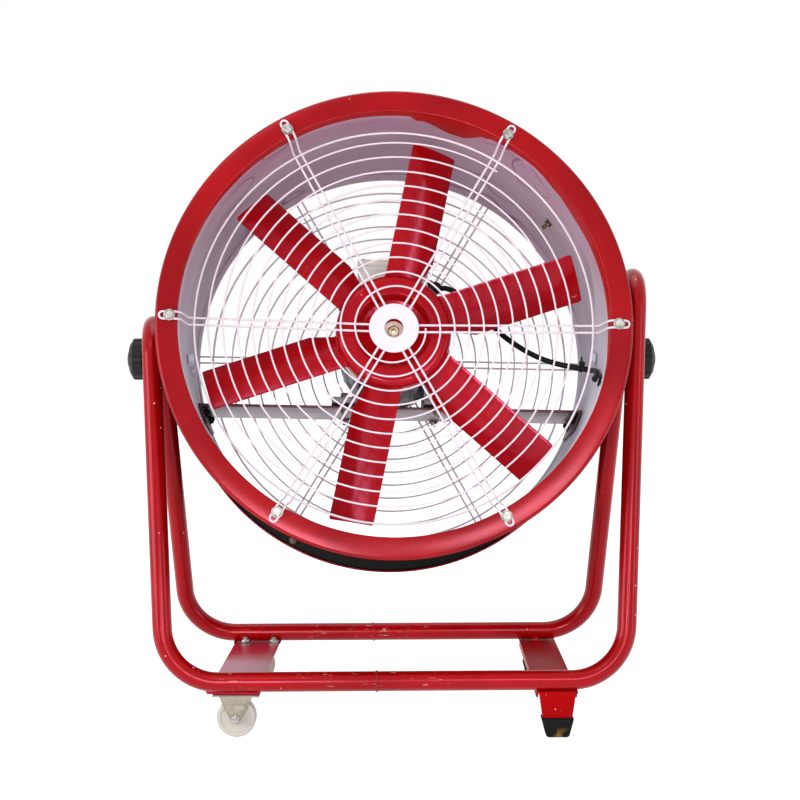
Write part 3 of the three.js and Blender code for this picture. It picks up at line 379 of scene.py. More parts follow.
# Lamps: where each one stands, its width, height and power
softboxes = {
    "left_softbox": ((-2.7, -1.5, 1.0), 1.8, 1.2, 40),
    "right_softbox": ((2.7, -1.6, 0.8), 0.4, 1.6, 14),
    "low_softbox": ((-0.45, -3.3, 0.75), 0.5, 0.7, 28),
    "high_softbox": ((0.6, -3.4, 1.25), 0.7, 0.4, 17),
    "ceiling_softbox": ((-0.8, -2.2, 2.9), 1.0, 0.8, 10),
    "top_softbox": ((0.0, 0.3, 3.0), 1.6, 1.6, 16),
}

# Modelling
merge_step = 0.000002
smooth_angle = math.radians(38)
bevel_angle = math.radians(32)
straight = math.radians(1)
seed_size = 0.01


def shift(x, y, z):
    return Matrix.Translation((x, y, z))


def turn(angle, axis="Y"):
    return Matrix.Rotation(angle, 4, axis)


# Turns of a piece made along Y: half round, to the side, head up and head down
about = turn(math.pi, "Z")
sideways = turn(-math.pi / 2, "Z")
upright = turn(-math.pi / 2, "X")
downward = turn(math.pi / 2, "X")

# Places: the tilted drum, its front mouth, what is bolted inside it, its rear mouth and the stand
as_packed = Matrix.Identity(4)
drum_place = Matrix.Translation(pivot) @ turn(-tilt, "X")
duct_place = drum_place @ shift(0, pivot_ahead - drum_length / 2, axis_rise)
inside_place = duct_place @ turn(clock)
impeller_place = duct_place @ shift(0, blade_plane, 0)
rear_inside = inside_place @ shift(0, drum_length, 0) @ about
rear_duct = duct_place @ shift(0, drum_length, 0) @ about
stand_place = shift(0, pivot.y, 0)
left_base = stand_place @ shift(caster_plate_x, 0, 0) @ turn(caster_skew, "Z")
right_base = stand_place @ shift(channel_x, 0, 0) @ turn(channel_skew, "Z")
sides = {"left": about, "right": as_packed}
ends = {"front": -1, "rear": 1}


# Shader values


class Value:
    """A number that varies over a surface. Sums and products of it add Math nodes."""

    def __init__(self, finish, socket):
        self.finish = finish
        self.socket = socket

    def joined(self, operation, first, second):
        return self.finish.node("Math", {0: first, 1: second}, operation=operation)

    def __add__(self, other):
        return self.joined("ADD", self, other)

    def __radd__(self, other):
        return self.joined("ADD", other, self)

    def __sub__(self, other):
        return self.joined("SUBTRACT", self, other)

    def __rsub__(self, other):
        return self.joined("SUBTRACT", other, self)

    def __mul__(self, other):
        return self.joined("MULTIPLY", self, other)

    def __rmul__(self, other):
        return self.joined("MULTIPLY", other, self)

    def __abs__(self):
        return self.finish.node("Math", {0: self}, operation="ABSOLUTE")


class Finish:
    """One finish: a material whose nodes are added by name, with what its sockets take."""

    def __init__(self, name):
        self.material = bpy.data.materials.new(name)
        self.material.use_nodes = True
        self.tree = self.material.node_tree
        self.shader = self.tree.nodes["Principled BSDF"]
        self.here = self.node("TexCoord", output="Object")

    def feed(self, socket, value):
        """Gives a socket a fixed value, or links another node's output to it."""
        if isinstance(value, Value):
            self.tree.links.new(value.socket, socket)
        else:
            socket.default_value = value

    def node(self, kind, inputs=None, output=0, **settings):
        """Adds a shader node, feeds its inputs and returns one of its outputs."""
        made = self.tree.nodes.new("ShaderNode" + kind)
        for key, value in settings.items():
            setattr(made, key, value)
        for key, value in (inputs or {}).items():
            self.feed(made.inputs[key], value)
        return Value(self, made.outputs[output])

    def part(self, vector, axis):
        """One coordinate of a vector: X, Y or Z."""
        return self.node("SeparateXYZ", {0: vector}, axis)

    def noise(self, scale, detail=3.0, vector=None, roughness=0.5):
        """Soft clouds between 0 and 1, with so many to the metre."""
        values = {"Vector": vector or self.here, "Scale": scale, "Detail": detail, "Roughness": roughness}
        return self.node("TexNoise", values)

    def cells(self, scale, output="Distance"):
        """Scattered cells: the distance to the nearest one, or its colour."""
        return self.node("TexVoronoi", {"Vector": self.here, "Scale": scale}, output)

    def drawn_out(self, vector, scale):
        """Coordinates squeezed along each axis, for streaks and scratches."""
        return self.node("Mapping", {"Vector": vector, "Scale": scale})

    def steps(self, value, low, high):
        """0 below low and 1 above high, with a smooth rise between them."""
        values = {0: value, 1: low, 2: high, 3: 0.0, 4: 1.0}
        return self.node("MapRange", values, interpolation_type="SMOOTHSTEP")

    def mix(self, share, first, second):
        """A colour between two others."""
        values = {0: share, 6: first, 7: second}
        return self.node("Mix", values, 2, data_type="RGBA", clamp_factor=True)

    def set(self, **values):
        """Feeds the material's own sockets, named with _ for a space."""
        for key, value in values.items():
            self.feed(self.shader.inputs[key.replace("_", " ")], value)

    def bump(self, height, strength, distance):
        """Fine relief, so many metres high."""
        bumped = self.node("Bump", {"Height": height, "Strength": strength, "Distance": distance})
        self.feed(self.shader.inputs["Normal"], bumped)


def colour(red, green, blue):
    """A colour given as 0 to 255 on screen, as the shader's linear one."""
    shares = [value / 255 for value in (red, green, blue)]
    return (*[s / 12.92 if s <= 0.04045 else ((s + 0.055) / 1.055) ** 2.4 for s in shares], 1.0)


def seen_from(finish, place):
    """Coordinates measured from a place on the object, in metres."""
    back = place.inverted()
    values = {"Vector": finish.here, "Location": back.translation, "Rotation": back.to_euler()}
    return finish.node("Mapping", values)


def bar_scuffs(finish):
    """Fine scratches along the floor bars, near their welds and where the caster plate meets them."""
    across = finish.part(finish.here, "X")
    height = finish.part(finish.here, "Z")
    lines = finish.steps(finish.noise(1.0, 3, finish.drawn_out(finish.here, (60.0, 420.0, 420.0))), 0.64, 0.7)
    welds = 1 - finish.steps(abs(across + 0.03), 0.03, 0.14)
    plate = 1 - finish.steps(abs(across + 0.235), 0.02, 0.06)
    low = 1 - finish.steps(height, 0.094, 0.1)
    return lines * (welds * 0.8 + plate * 0.7) * low * finish.steps(finish.noise(24, 2), 0.4, 0.6)


def red_paint(name, chips=0.5, rough=0.14, tone=(171, 7, 8), sheen=(1.0, 0.28, 0.37, 1.0), shine=0.5):
    """Sprayed gloss red with orange peel, a little dust and small chips down to the primer."""
    finish = Finish(name)
    wide = finish.noise(7, 4)
    peel = finish.noise(240, 2)
    dark = colour(tone[0] - 24, tone[1] - 4, tone[2] - 4)
    body = finish.mix(finish.steps(wide, 0.35, 0.7), dark, colour(*tone))
    dust = finish.steps(finish.noise(900, 2), 0.68, 0.76) * 0.25
    dusty = finish.mix(dust, body, colour(214, 120, 128))
    spots = 1 - finish.steps(finish.cells(62), 0.055, 0.085)
    chipped = spots * finish.steps(finish.noise(15, 2), 0.66 - 0.12 * chips, 0.72 - 0.12 * chips)
    if chips > 0.9:
        chipped = finish.node("Math", {0: chipped, 1: bar_scuffs(finish)}, operation="MAXIMUM")
    finish.set(Base_Color=finish.mix(chipped, dusty, colour(236, 206, 196)))
    finish.set(Roughness=rough + wide * 0.08 + chipped * 0.35, Specular_IOR_Level=shine, Specular_Tint=sheen)
    finish.bump(peel * 0.5 + finish.noise(38, 2) - chipped, 0.14, 0.0005)
    return finish.material


def overspray_red(name, place, far, near, tone, shine):
    """Red paint with pale primer dust on top, thick at the front end of a cross member."""
    finish = Finish(name)
    along = finish.part(seen_from(finish, place), "Y")
    upward = finish.part(finish.node("TexCoord", output="Normal"), "Z")
    wash = finish.noise(30, 4)
    reach = finish.steps(along + (wash - 0.5) * 0.05, far, near)
    reach = 1 - (1 - reach) * finish.steps(upward, 0.4, 0.8) * finish.steps(along, -0.166, -0.156)
    mist = finish.steps(finish.noise(420, 3), 0.35, 0.7)
    pale = finish.mix(mist * 0.4, colour(228, 176, 188), colour(204, 138, 158))
    body = finish.mix(reach, pale, colour(*tone))
    spots = 1 - finish.steps(finish.cells(95), 0.05, 0.12)
    chipped = spots * finish.steps(finish.noise(21, 2), 0.46, 0.56)
    finish.set(Base_Color=finish.mix(chipped, body, colour(232, 222, 214)))
    finish.set(Roughness=0.46 - reach * 0.16 + wash * 0.08, Specular_IOR_Level=shine)
    finish.set(Specular_Tint=(1.0, 0.35, 0.45, 1.0))
    finish.bump(finish.noise(260, 2), 0.15, 0.0004)
    return finish.material


def red_reach(finish, place):
    """How far the rim's red was sprayed into the front mouth: deepest near one o'clock and on the right."""
    across = finish.part(place, "X")
    upward = finish.part(place, "Z")
    top = finish.steps(upward, 0.05, 0.25)
    one_o_clock = finish.steps(across, 0.024, 0.034) * (1 - finish.steps(across, 0.1, 0.145)) * top
    right = finish.steps(across, 0.2, 0.27) * finish.steps(upward, -0.12, 0.02)
    reach = top * 0.014 + finish.noise(9, 3, place) * 0.012
    reach = reach + one_o_clock * (finish.steps(across, 0.04, 0.09) * 0.03 + 0.022)
    return reach + right * 0.034


def inside_red(finish, place):
    """1 on the red part of the drum's inside and 0 behind its edge."""
    return 1 - finish.steps(finish.part(place, "Y") - red_reach(finish, place), -0.001, 0.0015)


def brush_strokes(finish, place):
    """Thin dark strokes left by a brush high on both sides of the drum's inside."""
    side = abs(finish.part(place, "X"))
    upward = finish.part(place, "Z")
    zone = finish.steps(side, 0.11, 0.16) * (1 - finish.steps(side, 0.21, 0.25))
    swing = abs(finish.noise(9, 1, place) - 0.5)
    return zone * finish.steps(upward, 0.12, 0.18) * (1 - finish.steps(swing, 0.005, 0.018))


def pale_lining(name="drum_lining", red=True):
    """The inside of the drum: white-grey undercoat with a mauve mist of red towards the mouths, and heavier
    mauve towards the top that is partly overspray and partly painted shade with a painted red reflection.
    """
    finish = Finish(name)
    place = seen_from(finish, duct_place)
    depth = finish.part(place, "Y")
    upward = finish.part(place, "Z")
    wipe = finish.drawn_out(place, (5.0, 42.0, 5.0))
    streak = finish.noise(1.0, 5, wipe)
    cloud = finish.noise(6, 4, place)
    mouth = 1 - finish.steps(depth, 0.02, 0.16)
    # Towards the top the wall faces down: its mauve there is partly overspray and partly painted shade and
    # painted red reflection.
    top = finish.steps(upward + (cloud - 0.5) * 0.16, -0.1, 0.22)
    mist = mouth * 0.15 + top * 0.75 + (streak - 0.5) * 0.35
    clean = finish.mix(cloud, colour(212, 216, 230), colour(230, 232, 242))
    body = finish.mix(mist, clean, colour(182, 136, 160))
    smear = finish.steps(finish.noise(9, 6, wipe, 0.62), 0.62, 0.72) * top
    body = finish.mix(smear * 0.55, body, colour(134, 88, 114))
    if red:
        body = finish.mix(brush_strokes(finish, place) * 0.6, body, colour(112, 54, 92))
        body = finish.mix(inside_red(finish, place), body, colour(172, 10, 13))
    finish.set(Base_Color=body, Roughness=0.38 + streak * 0.2, Specular_IOR_Level=0.02)
    finish.bump(streak + finish.noise(120, 2, place) * 0.3, 0.2, 0.0008)
    return finish.material


def black_paint(name, rough=0.36):
    """Thin black paint on sheet, worn brown in places."""
    finish = Finish(name)
    grain = finish.noise(300, 2)
    wear = finish.steps(finish.noise(24, 4), 0.6, 0.75)
    finish.set(Base_Color=finish.mix(wear * 0.35, colour(17, 13, 13), colour(48, 36, 34)))
    finish.set(Roughness=rough + grain * 0.14, Specular_IOR_Level=0.14)
    finish.bump(grain, 0.12, 0.0004)
    return finish.material


def white_wire():
    """Dipped white coating on wire, a touch pink where the red shines on it."""
    finish = Finish("wire_coating")
    tone = finish.mix(finish.noise(40, 3), colour(224, 210, 221), colour(234, 222, 231))
    finish.set(Base_Color=tone, Roughness=0.3 + finish.noise(200, 2) * 0.15, Specular_IOR_Level=0.4)
    finish.bump(finish.noise(420, 2), 0.08, 0.0003)
    return finish.material


def zinc(name, tone, shade, metal=0.75):
    """Dipped zinc with its spangles and dull grey handling marks."""
    finish = Finish(name)
    spangle = finish.node("SeparateColor", {0: finish.cells(150, "Color")}, "Red")
    marks = finish.noise(22, 5)
    share = spangle * 0.45 + finish.steps(marks, 0.4, 0.68) * 0.55
    finish.set(Base_Color=finish.mix(share, colour(*tone), colour(*shade)))
    finish.set(Roughness=0.34 + spangle * 0.16 + marks * 0.12, Metallic=metal)
    finish.bump(spangle + finish.noise(500, 2) * 0.4, 0.1, 0.0003)
    return finish.material


def plate_finish():
    """Zinc plate under a mauve mist, with dark red overspray along its front edge and painted shade, near
    black, on its bent ends.
    """
    finish = Finish("motor_plate_coat")
    place = seen_from(finish, inside_place)
    depth = finish.part(place, "Y")
    across = abs(finish.part(place, "X"))
    # The bent ends go near black: painted shade where they drop down against the wall.
    bent = finish.steps(across + (finish.noise(50, 3) - 0.5) * 0.01, 0.268, 0.274)
    brush = finish.noise(1.0, 4, finish.drawn_out(place, (12.0, 160.0, 160.0)))
    body = finish.mix(brush, colour(170, 156, 166), colour(138, 124, 134))
    ragged = depth + (finish.noise(60, 3) - 0.5) * 0.006
    edge = 1 - finish.steps(ragged, plate_front + 0.001, plate_front + 0.004)
    front = finish.mix(edge, body, colour(96, 12, 20))
    finish.set(Base_Color=finish.mix(bent, front, colour(58, 12, 18)))
    finish.set(Roughness=0.4 + brush * 0.15, Metallic=(1 - edge) * (1 - bent) * 0.35)
    finish.bump(brush, 0.12, 0.0004)
    return finish.material


def cast_grey():
    """Sprayed grey on cast aluminium."""
    finish = Finish("motor_enamel")
    sand = finish.noise(160, 4)
    grime = finish.steps(finish.noise(14, 4), 0.5, 0.75)
    finish.set(Base_Color=finish.mix(grime, colour(150, 152, 156), colour(112, 110, 112)))
    finish.set(Roughness=0.42 + sand * 0.18, Metallic=0.1, Specular_IOR_Level=0.45)
    finish.bump(sand, 0.3, 0.0006)
    return finish.material


def moulded(name, tone, shade, rough, grain=320, depth=0.0003, shine=0.42):
    """Moulded plastic or rubber with a fine skin and a little grime."""
    finish = Finish(name)
    skin = finish.noise(grain, 3)
    grime = finish.noise(26, 4)
    finish.set(Base_Color=finish.mix(finish.steps(grime, 0.35, 0.75), colour(*tone), colour(*shade)))
    finish.set(Roughness=rough + skin * 0.12 + grime * 0.06, Specular_IOR_Level=shine)
    finish.bump(skin, 0.14, depth)
    return finish.material


def worn_rubber():
    """Black rubber with dried yellow-brown dirt low on its sides."""
    finish = Finish("shoe_rubber")
    dirt = finish.noise(34, 5)
    low = 1 - finish.steps(finish.part(finish.here, "Z"), 0.004, 0.016)
    share = low * finish.steps(dirt, 0.54, 0.66)
    finish.set(Base_Color=finish.mix(share, colour(16, 15, 15), colour(126, 96, 44)))
    finish.set(Roughness=0.62 + dirt * 0.2, Specular_IOR_Level=0.12)
    finish.bump(finish.noise(260, 3) + share, 0.2, 0.0005)
    return finish.material


def steel(name, tone, shade, rough=0.22, scale=90):
    """Machined or plated steel with faint turning marks and stains."""
    finish = Finish(name)
    marks = finish.noise(scale, 5)
    fine = finish.noise(900, 2)
    finish.set(Base_Color=finish.mix(finish.steps(marks, 0.35, 0.7), colour(*tone), colour(*shade)))
    finish.set(Roughness=rough + marks * 0.18 + fine * 0.06, Metallic=0.9)
    finish.bump(fine + marks, 0.08, 0.0002)
    return finish.material


def core_stack():
    """Stacked steel sheets, seen on edge."""
    finish = Finish("core_sheets")
    depth = finish.part(seen_from(finish, inside_place), "Y")
    line = finish.node("Math", {0: depth * 1800}, operation="FRACT")
    edge = finish.steps(line, 0.2, 0.5)
    finish.set(Base_Color=finish.mix(edge, colour(60, 60, 64), colour(104, 104, 108)))
    finish.set(Roughness=0.45 + edge * 0.1, Metallic=0.7)
    finish.bump(edge, 0.2, 0.0003)
    return finish.material


finishes = {
    "tube_red": red_paint("tube_red", 1.0, 0.16),
    # The rims' red is the tubes' paint made darker: painted shade.
    "rim_red_painted_shade": red_paint("rim_red_painted_shade", 0.25, 0.14, (158, 7, 8)),
    # The outer face of the rims' lip: the rim red made darker and dull, as painted shade.
    "rim_lip_painted_shade": red_paint("rim_lip_painted_shade_red", 0.1, 0.5, (118, 8, 12), shine=0.0),
    # The hub and blades take the same red made lighter: painted light against the shade inside the drum.
    "impeller_red": red_paint("impeller_red", 0.2, 0.12, (178, 9, 13), (1.0, 0.26, 0.46, 1.0)),
    # Pale pink on the blades' cut edges and the balance rivet: a painted highlight where they catch the
    # light.
    "edge_red": red_paint("edge_red", 0.1, 0.3, (206, 84, 96)),
    "lining": pale_lining(),
    "rear_lining": pale_lining("rear_lining", False),
    "shell_black": black_paint("shell_black"),
    "bracket_black": black_paint("bracket_black", 0.44),
    "wire": white_wire(),
    "zinc": zinc("bracket_zinc", (150, 143, 130), (120, 113, 101)),
    "plate": plate_finish(),
    "motor": cast_grey(),
    "cream": moulded("box_cream", (240, 241, 230), (228, 228, 216), 0.4),
    "plastic": moulded("knob_plastic", (17, 17, 18), (34, 33, 33), 0.34, 500, 0.0002, 0.16),
    "cable": moulded("cable_sheath", (12, 12, 13), (24, 23, 24), 0.4, 600, 0.0002, 0.14),
    "rubber": moulded("grommet_rubber", (20, 19, 18), (32, 30, 28), 0.62, 320, 0.0003, 0.14),
    "shoe": worn_rubber(),
    "nylon": moulded("wheel_nylon", (200, 194, 186), (180, 173, 166), 0.36, 120, 0.0005),
    "steel": steel("plated_steel", (168, 160, 150), (124, 115, 104)),
    "zinc_bolt": steel("bolt_zinc", (172, 170, 166), (124, 121, 116), 0.3, 220),
    "bronze": steel("wall_screw_bronze", (160, 138, 114), (104, 82, 64), 0.16, 60),
    "shaft_gold": steel("shaft_bolt_gold", (206, 188, 164), (150, 124, 98), 0.18, 60),
    "pale_zinc": zinc("shaft_washer_zinc", (234, 224, 214), (208, 194, 184), 0.15),
    "dull_zinc": zinc("rim_screw_zinc", (124, 100, 92), (96, 74, 68), 0.1),
    "core": core_stack(),
    # The cross plate's red is lighter and pinker than the channel's: painted light against the rear bar's
    # shadow, under the real primer dust.
    "cross_red": overspray_red("cross_plate_coat", left_base, -0.01, 0.09, (206, 34, 62), 0.1),
    "channel_red": overspray_red("channel_coat", right_base, -0.14, -0.08, (172, 12, 15), 0.03),
}


# Modelling


def let_go():
    bpy.ops.object.select_all(action="DESELECT")


def pick(piece):
    """Selects one piece alone, as the one that the next step works on."""
    let_go()
    piece.select_set(True)
    bpy.context.view_layer.objects.active = piece


def named(name):
    """Names the piece that was just made, and its mesh."""
    piece = bpy.context.active_object
    piece.name = name
    piece.data.name = name
    return piece


def settled():
    """Turns the place, turn and size of the picked piece into its mesh."""
    bpy.ops.object.transform_apply(location=True, rotation=True, scale=True)


def open_mesh():
    bpy.ops.object.mode_set(mode="EDIT")


def close_mesh():
    bpy.ops.object.mode_set(mode="OBJECT")


def without_doubles():
    bpy.ops.mesh.select_all(action="SELECT")
    bpy.ops.mesh.remove_doubles(threshold=merge_step)


def tidied():
    """Merges doubles and turns every face outwards, in edit mode."""
    without_doubles()
    bpy.ops.mesh.normals_make_consistent(inside=False)


def thread(name, points, closed):
    """A chain of edges drawn by extruding one vertex from point to point. Ends in edit mode."""
    let_go()
    bpy.ops.mesh.primitive_plane_add(size=seed_size, location=(0, 0, 0))
    piece = named(name)
    open_mesh()
    bpy.ops.mesh.merge(type="CENTER")
    path = [Vector(point) for point in points]
    if closed:
        path.append(path[0])
    bpy.ops.transform.translate(value=path[0])
    for before, after in zip(path, path[1:]):
        bpy.ops.mesh.extrude_vertices_move(TRANSFORM_OT_translate={"value": after - before})
    without_doubles()
    return piece


def turned(name, outline, steps, closed=True):
    """A piece spun about Y from outline points (radius, depth)."""
    piece = thread(name, [(radius, depth, 0) for radius, depth in outline], closed)
    bpy.ops.mesh.spin(steps=steps, angle=2 * math.pi, center=(0, 0, 0), axis=(0, 1, 0))
    tidied()
    close_mesh()
    return piece


def pin(name, radius, start, stop, steps):
    """A plain round bar along Y, for shanks and for cutters."""
    return turned(name, [(0, start), (radius, start), (radius, stop), (0, stop)], steps, False)


def dome(name, radius, rise, angles, steps):
    """A cap over the origin that rises towards -Y."""
    ways = [math.radians(angle) for angle in angles]
    outline = [(radius * math.sin(way), -rise * math.cos(way)) for way in ways]
    return turned(name, [*outline, (0, 0)], steps, False)


def prism(name, outline, thickness):
    """An outline (x, z) extruded along Y."""
    piece = thread(name, [(x, 0, z) for x, z in outline], True)
    bpy.ops.mesh.edge_face_add()
    bpy.ops.mesh.select_all(action="SELECT")
    bpy.ops.mesh.extrude_region_move(TRANSFORM_OT_translate={"value": (0, thickness, 0)})
    tidied()
    close_mesh()
    return piece


def block(name, low, high):
    """A box between two corners."""
    middle = [(a + b) / 2 for a, b in zip(low, high)]
    size = [b - a for a, b in zip(low, high)]
    let_go()
    bpy.ops.mesh.primitive_cube_add(size=1, location=middle, scale=size)
    piece = named(name)
    settled()
    return piece


def rod(name, points, radius, fineness=4, closed=False, swell=None):
    """A round wire along points, made as a bevelled curve and turned into a mesh."""
    line = bpy.data.curves.new(name, "CURVE")
    line.dimensions = "3D"
    line.bevel_depth = radius
    line.bevel_resolution = fineness
    line.use_fill_caps = True
    path = line.splines.new("POLY")
    path.points.add(len(points) - 1)
    for number, (dot, at) in enumerate(zip(path.points, points)):
        dot.co = (*at, 1.0)
        dot.radius = swell(number) if swell else 1.0
    path.use_cyclic_u = closed
    piece = bpy.data.objects.new(name, line)
    bpy.context.collection.objects.link(piece)
    pick(piece)
    bpy.ops.object.convert(target="MESH")
    piece = named(name)
    open_mesh()
    tidied()
    close_mesh()
    return piece


def weld(name, line, bead, closed=False, fineness=3):
    """A hand-laid bead along a line, thicker and thinner as it goes."""
    radius, swell, pace = bead
    return rod(name, line, radius, fineness, closed, lambda number: 1 + swell * math.sin(pace * number))


def changed(piece, kind, **settings):
    """The piece with one modifier applied."""
    pick(piece)
    modifier = piece.modifiers.new(kind.lower(), kind)
    for key, value in settings.items():
        setattr(modifier, key, value)
    bpy.ops.object.modifier_apply(modifier=modifier.name)
    return piece


def rounded(piece, width, segments=2, limit=bevel_angle):
    """Rounds the edges that bend by more than the limit."""
    return changed(piece, "BEVEL", width=width, segments=segments, limit_method="ANGLE", angle_limit=limit)


def bored(piece, cutter):
    """Cuts one closed piece out of another and removes the cutter."""
    changed(piece, "BOOLEAN", operation="DIFFERENCE", solver="EXACT", object=cutter)
    bpy.data.objects.remove(cutter)
    return piece


def merged(name, *pieces):
    """Several pieces as one object."""
    let_go()
    for piece in pieces:
        piece.select_set(True)
    bpy.context.view_layer.objects.active = pieces[0]
    bpy.ops.object.join()
    return named(name)


def moved(piece, place):
    """Puts a piece in a place and settles it there."""
    pick(piece)
    piece.matrix_world = place
    settled()
    return piece


def twin(piece, name):
    """A copy of a piece with its own mesh."""
    copy = piece.copy()
    copy.data = piece.data.copy()
    bpy.context.collection.objects.link(copy)
    copy.name = name
    copy.data.name = name
    return copy


def all_round(model, count, first=0.0):
    """Copies of a piece, evenly round Y, in place of the piece itself."""
    copies = []
    for number in range(count):
        copy = twin(model, f"{model.name}_{number}")
        copies.append(moved(copy, turn(first + 2 * math.pi * number / count)))
    bpy.data.objects.remove(model)
    return copies


def taken_from(node, name, width, segments=2):
    """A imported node's own shape, merged, flattened and with its edges rounded."""
    piece = twin(frame["nodes"][node], name)
    for key in list(piece.keys()):
        del piece[key]
    piece.parent = None
    pick(piece)
    open_mesh()
    tidied()
    bpy.ops.mesh.dissolve_limited(angle_limit=straight)
    close_mesh()
    return rounded(piece, width, segments)


def dressed(piece, place, body, finish, slot, *nodes):
    """Puts a piece in its place with its finish, on its body, for the nodes it stands for."""
    moved(piece, place)
    bpy.ops.object.shade_smooth_by_angle(angle=smooth_angle)
    names = finish if isinstance(finish, tuple) else (finish,)
    slots = [min(face.material_index, len(names) - 1) for face in piece.data.polygons]
    piece.data.materials.clear()
    for one in names:
        piece.data.materials.append(finishes[one])
    piece.data.polygons.foreach_set("material_index", slots)
    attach(piece, body)
    if nodes:
        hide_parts(*nodes)
    return piece


def set_out(model, name, places, body, finish, slot):
    """Copies of a small piece, one in each place, numbered from 1."""
    for number, place in enumerate(places, 1):
        dressed(twin(model, f"{name}_{number}"), place, body, finish, slot)
    bpy.data.objects.remove(model)


def arc(centre, radius, first, last, steps):
    """Points (radius, depth) round part of a circle, in degrees."""
    points = []
    for number in range(steps + 1):
        angle = math.radians(first + (last - first) * number / steps)
        points.append((centre[0] + radius * math.cos(angle), centre[1] + radius * math.sin(angle)))
    return points


def circle(radius, count):
    """Points evenly round a whole circle."""
    angles = [2 * math.pi * number / count for number in range(count)]
    return [(radius * math.cos(angle), radius * math.sin(angle)) for angle in angles]


def bend(before, at, after, radius, steps):
    """Points round a corner of the given radius."""
    inward = (before - at).normalized()
    outward = (after - at).normalized()
    half = inward.angle(outward) / 2
    reach = radius / math.tan(half)
    centre = at + (inward + outward).normalized() * (radius / math.sin(half))
    start = at + inward * reach - centre
    end = at + outward * reach - centre
    axis = start.cross(end).normalized()
    sweep = start.angle(end)
    return [centre + Matrix.Rotation(sweep * i / steps, 3, axis) @ start for i in range(steps + 1)]


def eased(corners, radius, steps):
    """A path through corners with each inner one rounded."""
    points = [corners[0]]
    for before, at, after in zip(corners, corners[1:], corners[2:]):
        if (before - at).angle(at - after) >= straight:
            points.extend(bend(before, at, after, radius, steps))
    return [*points, corners[-1]]


def hexagon(name, radius, height, middle, edge):
    """A six-sided head along Y with its edges rounded."""
    let_go()
    bpy.ops.mesh.primitive_cylinder_add(vertices=6, radius=radius, depth=height, location=(0, middle, 0),
                                        rotation=(math.pi / 2, 0, 0))
    piece = named(name)
    settled()
    return rounded(piece, edge)


def bolt(name):
    """A hexagon head on its washer, pointing along -Y from the face that it clamps."""
    head, height, washer, sheet, proud = [*bolt_sizes[name], 0.0, 0.0, 0.0][:5]
    top = -sheet - height
    pieces = [hexagon(name, head, height, -sheet - height / 2, head * 0.06)]
    low = top + head * 0.03
    high = top - head * 0.08
    crown = [(0, high), (head * 0.72, high), (head * 0.84, low), (0, low)]
    pieces.append(turned(name + "_crown", crown, 32, False))
    if washer:
        edge = sheet * 0.3
        ring = [(0, 0), (washer, 0), (washer, -sheet + edge), (washer - edge, -sheet), (0, -sheet)]
        pieces.append(turned(name + "_washer", ring, 40, False))
    if proud:
        end = top - proud
        stud = [(0, top), (head * 0.52, top), (head * 0.52, end + head * 0.1), (head * 0.42, end), (0, end)]
        pieces.append(turned(name + "_stud", stud, 24, False))
    return merged(name, *pieces)


# Stand


def hairpin(top):
    """The height of a hairpin's centre, and how far its legs lean from upright."""
    centre = top - tube_radius - hairpin_radius
    rise = centre - bar_height
    far = math.hypot(bar_half_spread, rise)
    return centre, math.atan2(bar_half_spread, rise) - math.asin(hairpin_radius / far)


def leg_half_width(height):
    """How far a leg stands from the middle at one height: the legs lean outwards."""
    share = (height - bar_height) / (pivot.z - bar_height)
    return foot_half_width + (pivot_half_width - foot_half_width) * share


def stand_path(side, top):
    """Front bar, corner, front leg, hairpin, rear leg, corner, rear bar."""
    centre, lean = hairpin(top)
    bar_end = weld_offset + side * seat_gap / 2
    over = []
    for number in range(hairpin_steps + 1):
        angle = math.pi - lean - (math.pi - 2 * lean) * number / hairpin_steps
        height = centre + hairpin_radius * math.sin(angle)
        over.append(Vector((side * leg_half_width(height), hairpin_radius * math.cos(angle), height)))
    corners = []
    for back, leg in ((-1, over[0]), (1, over[-1])):
        bar = Vector((bar_end, back * bar_half_spread, bar_height))
        foot = Vector((side * foot_half_width, back * bar_half_spread, bar_height))
        corners.append([bar, *bend(bar, foot, leg, corner_radius, 20)])
    return [*corners[0], *over, *reversed(corners[1])]


def stand_tubes():
    """Both bent halves of the stand, and the bead where they meet in each floor bar."""
    for name, side, top in (("left", -1, left_top), ("right", 1, right_top)):
        tube = rod("stand_tube_" + name + "_painted", stand_path(side, top), tube_radius, 14)
        dressed(tube, stand_place, "stand", "tube_red", "red_paint", "stand_tube_" + name)
    for name, back in ends.items():
        line = []
        for y, z in circle(tube_radius - bar_weld_bite, 48):
            wander = bar_weld_wander * math.sin(3 * math.atan2(z, y) + back)
            line.append((weld_offset + wander, back * bar_half_spread + y, bar_height + z))
        dressed(weld("bar_weld_" + name, line, bar_bead, True), stand_place, "stand", "tube_red", "red_paint")


def plate_edge(top, height, slack):
    """How far the leg's inner side lies from the middle, at one height of the side view."""
    centre, lean = hairpin(top)
    inner = hairpin_radius - tube_radius + slack
    if height > centre + inner * math.sin(lean):
        return math.sqrt(max(inner ** 2 - (height - centre) ** 2, 0.0))
    return inner / math.cos(lean) + (centre - height) * math.tan(lean)


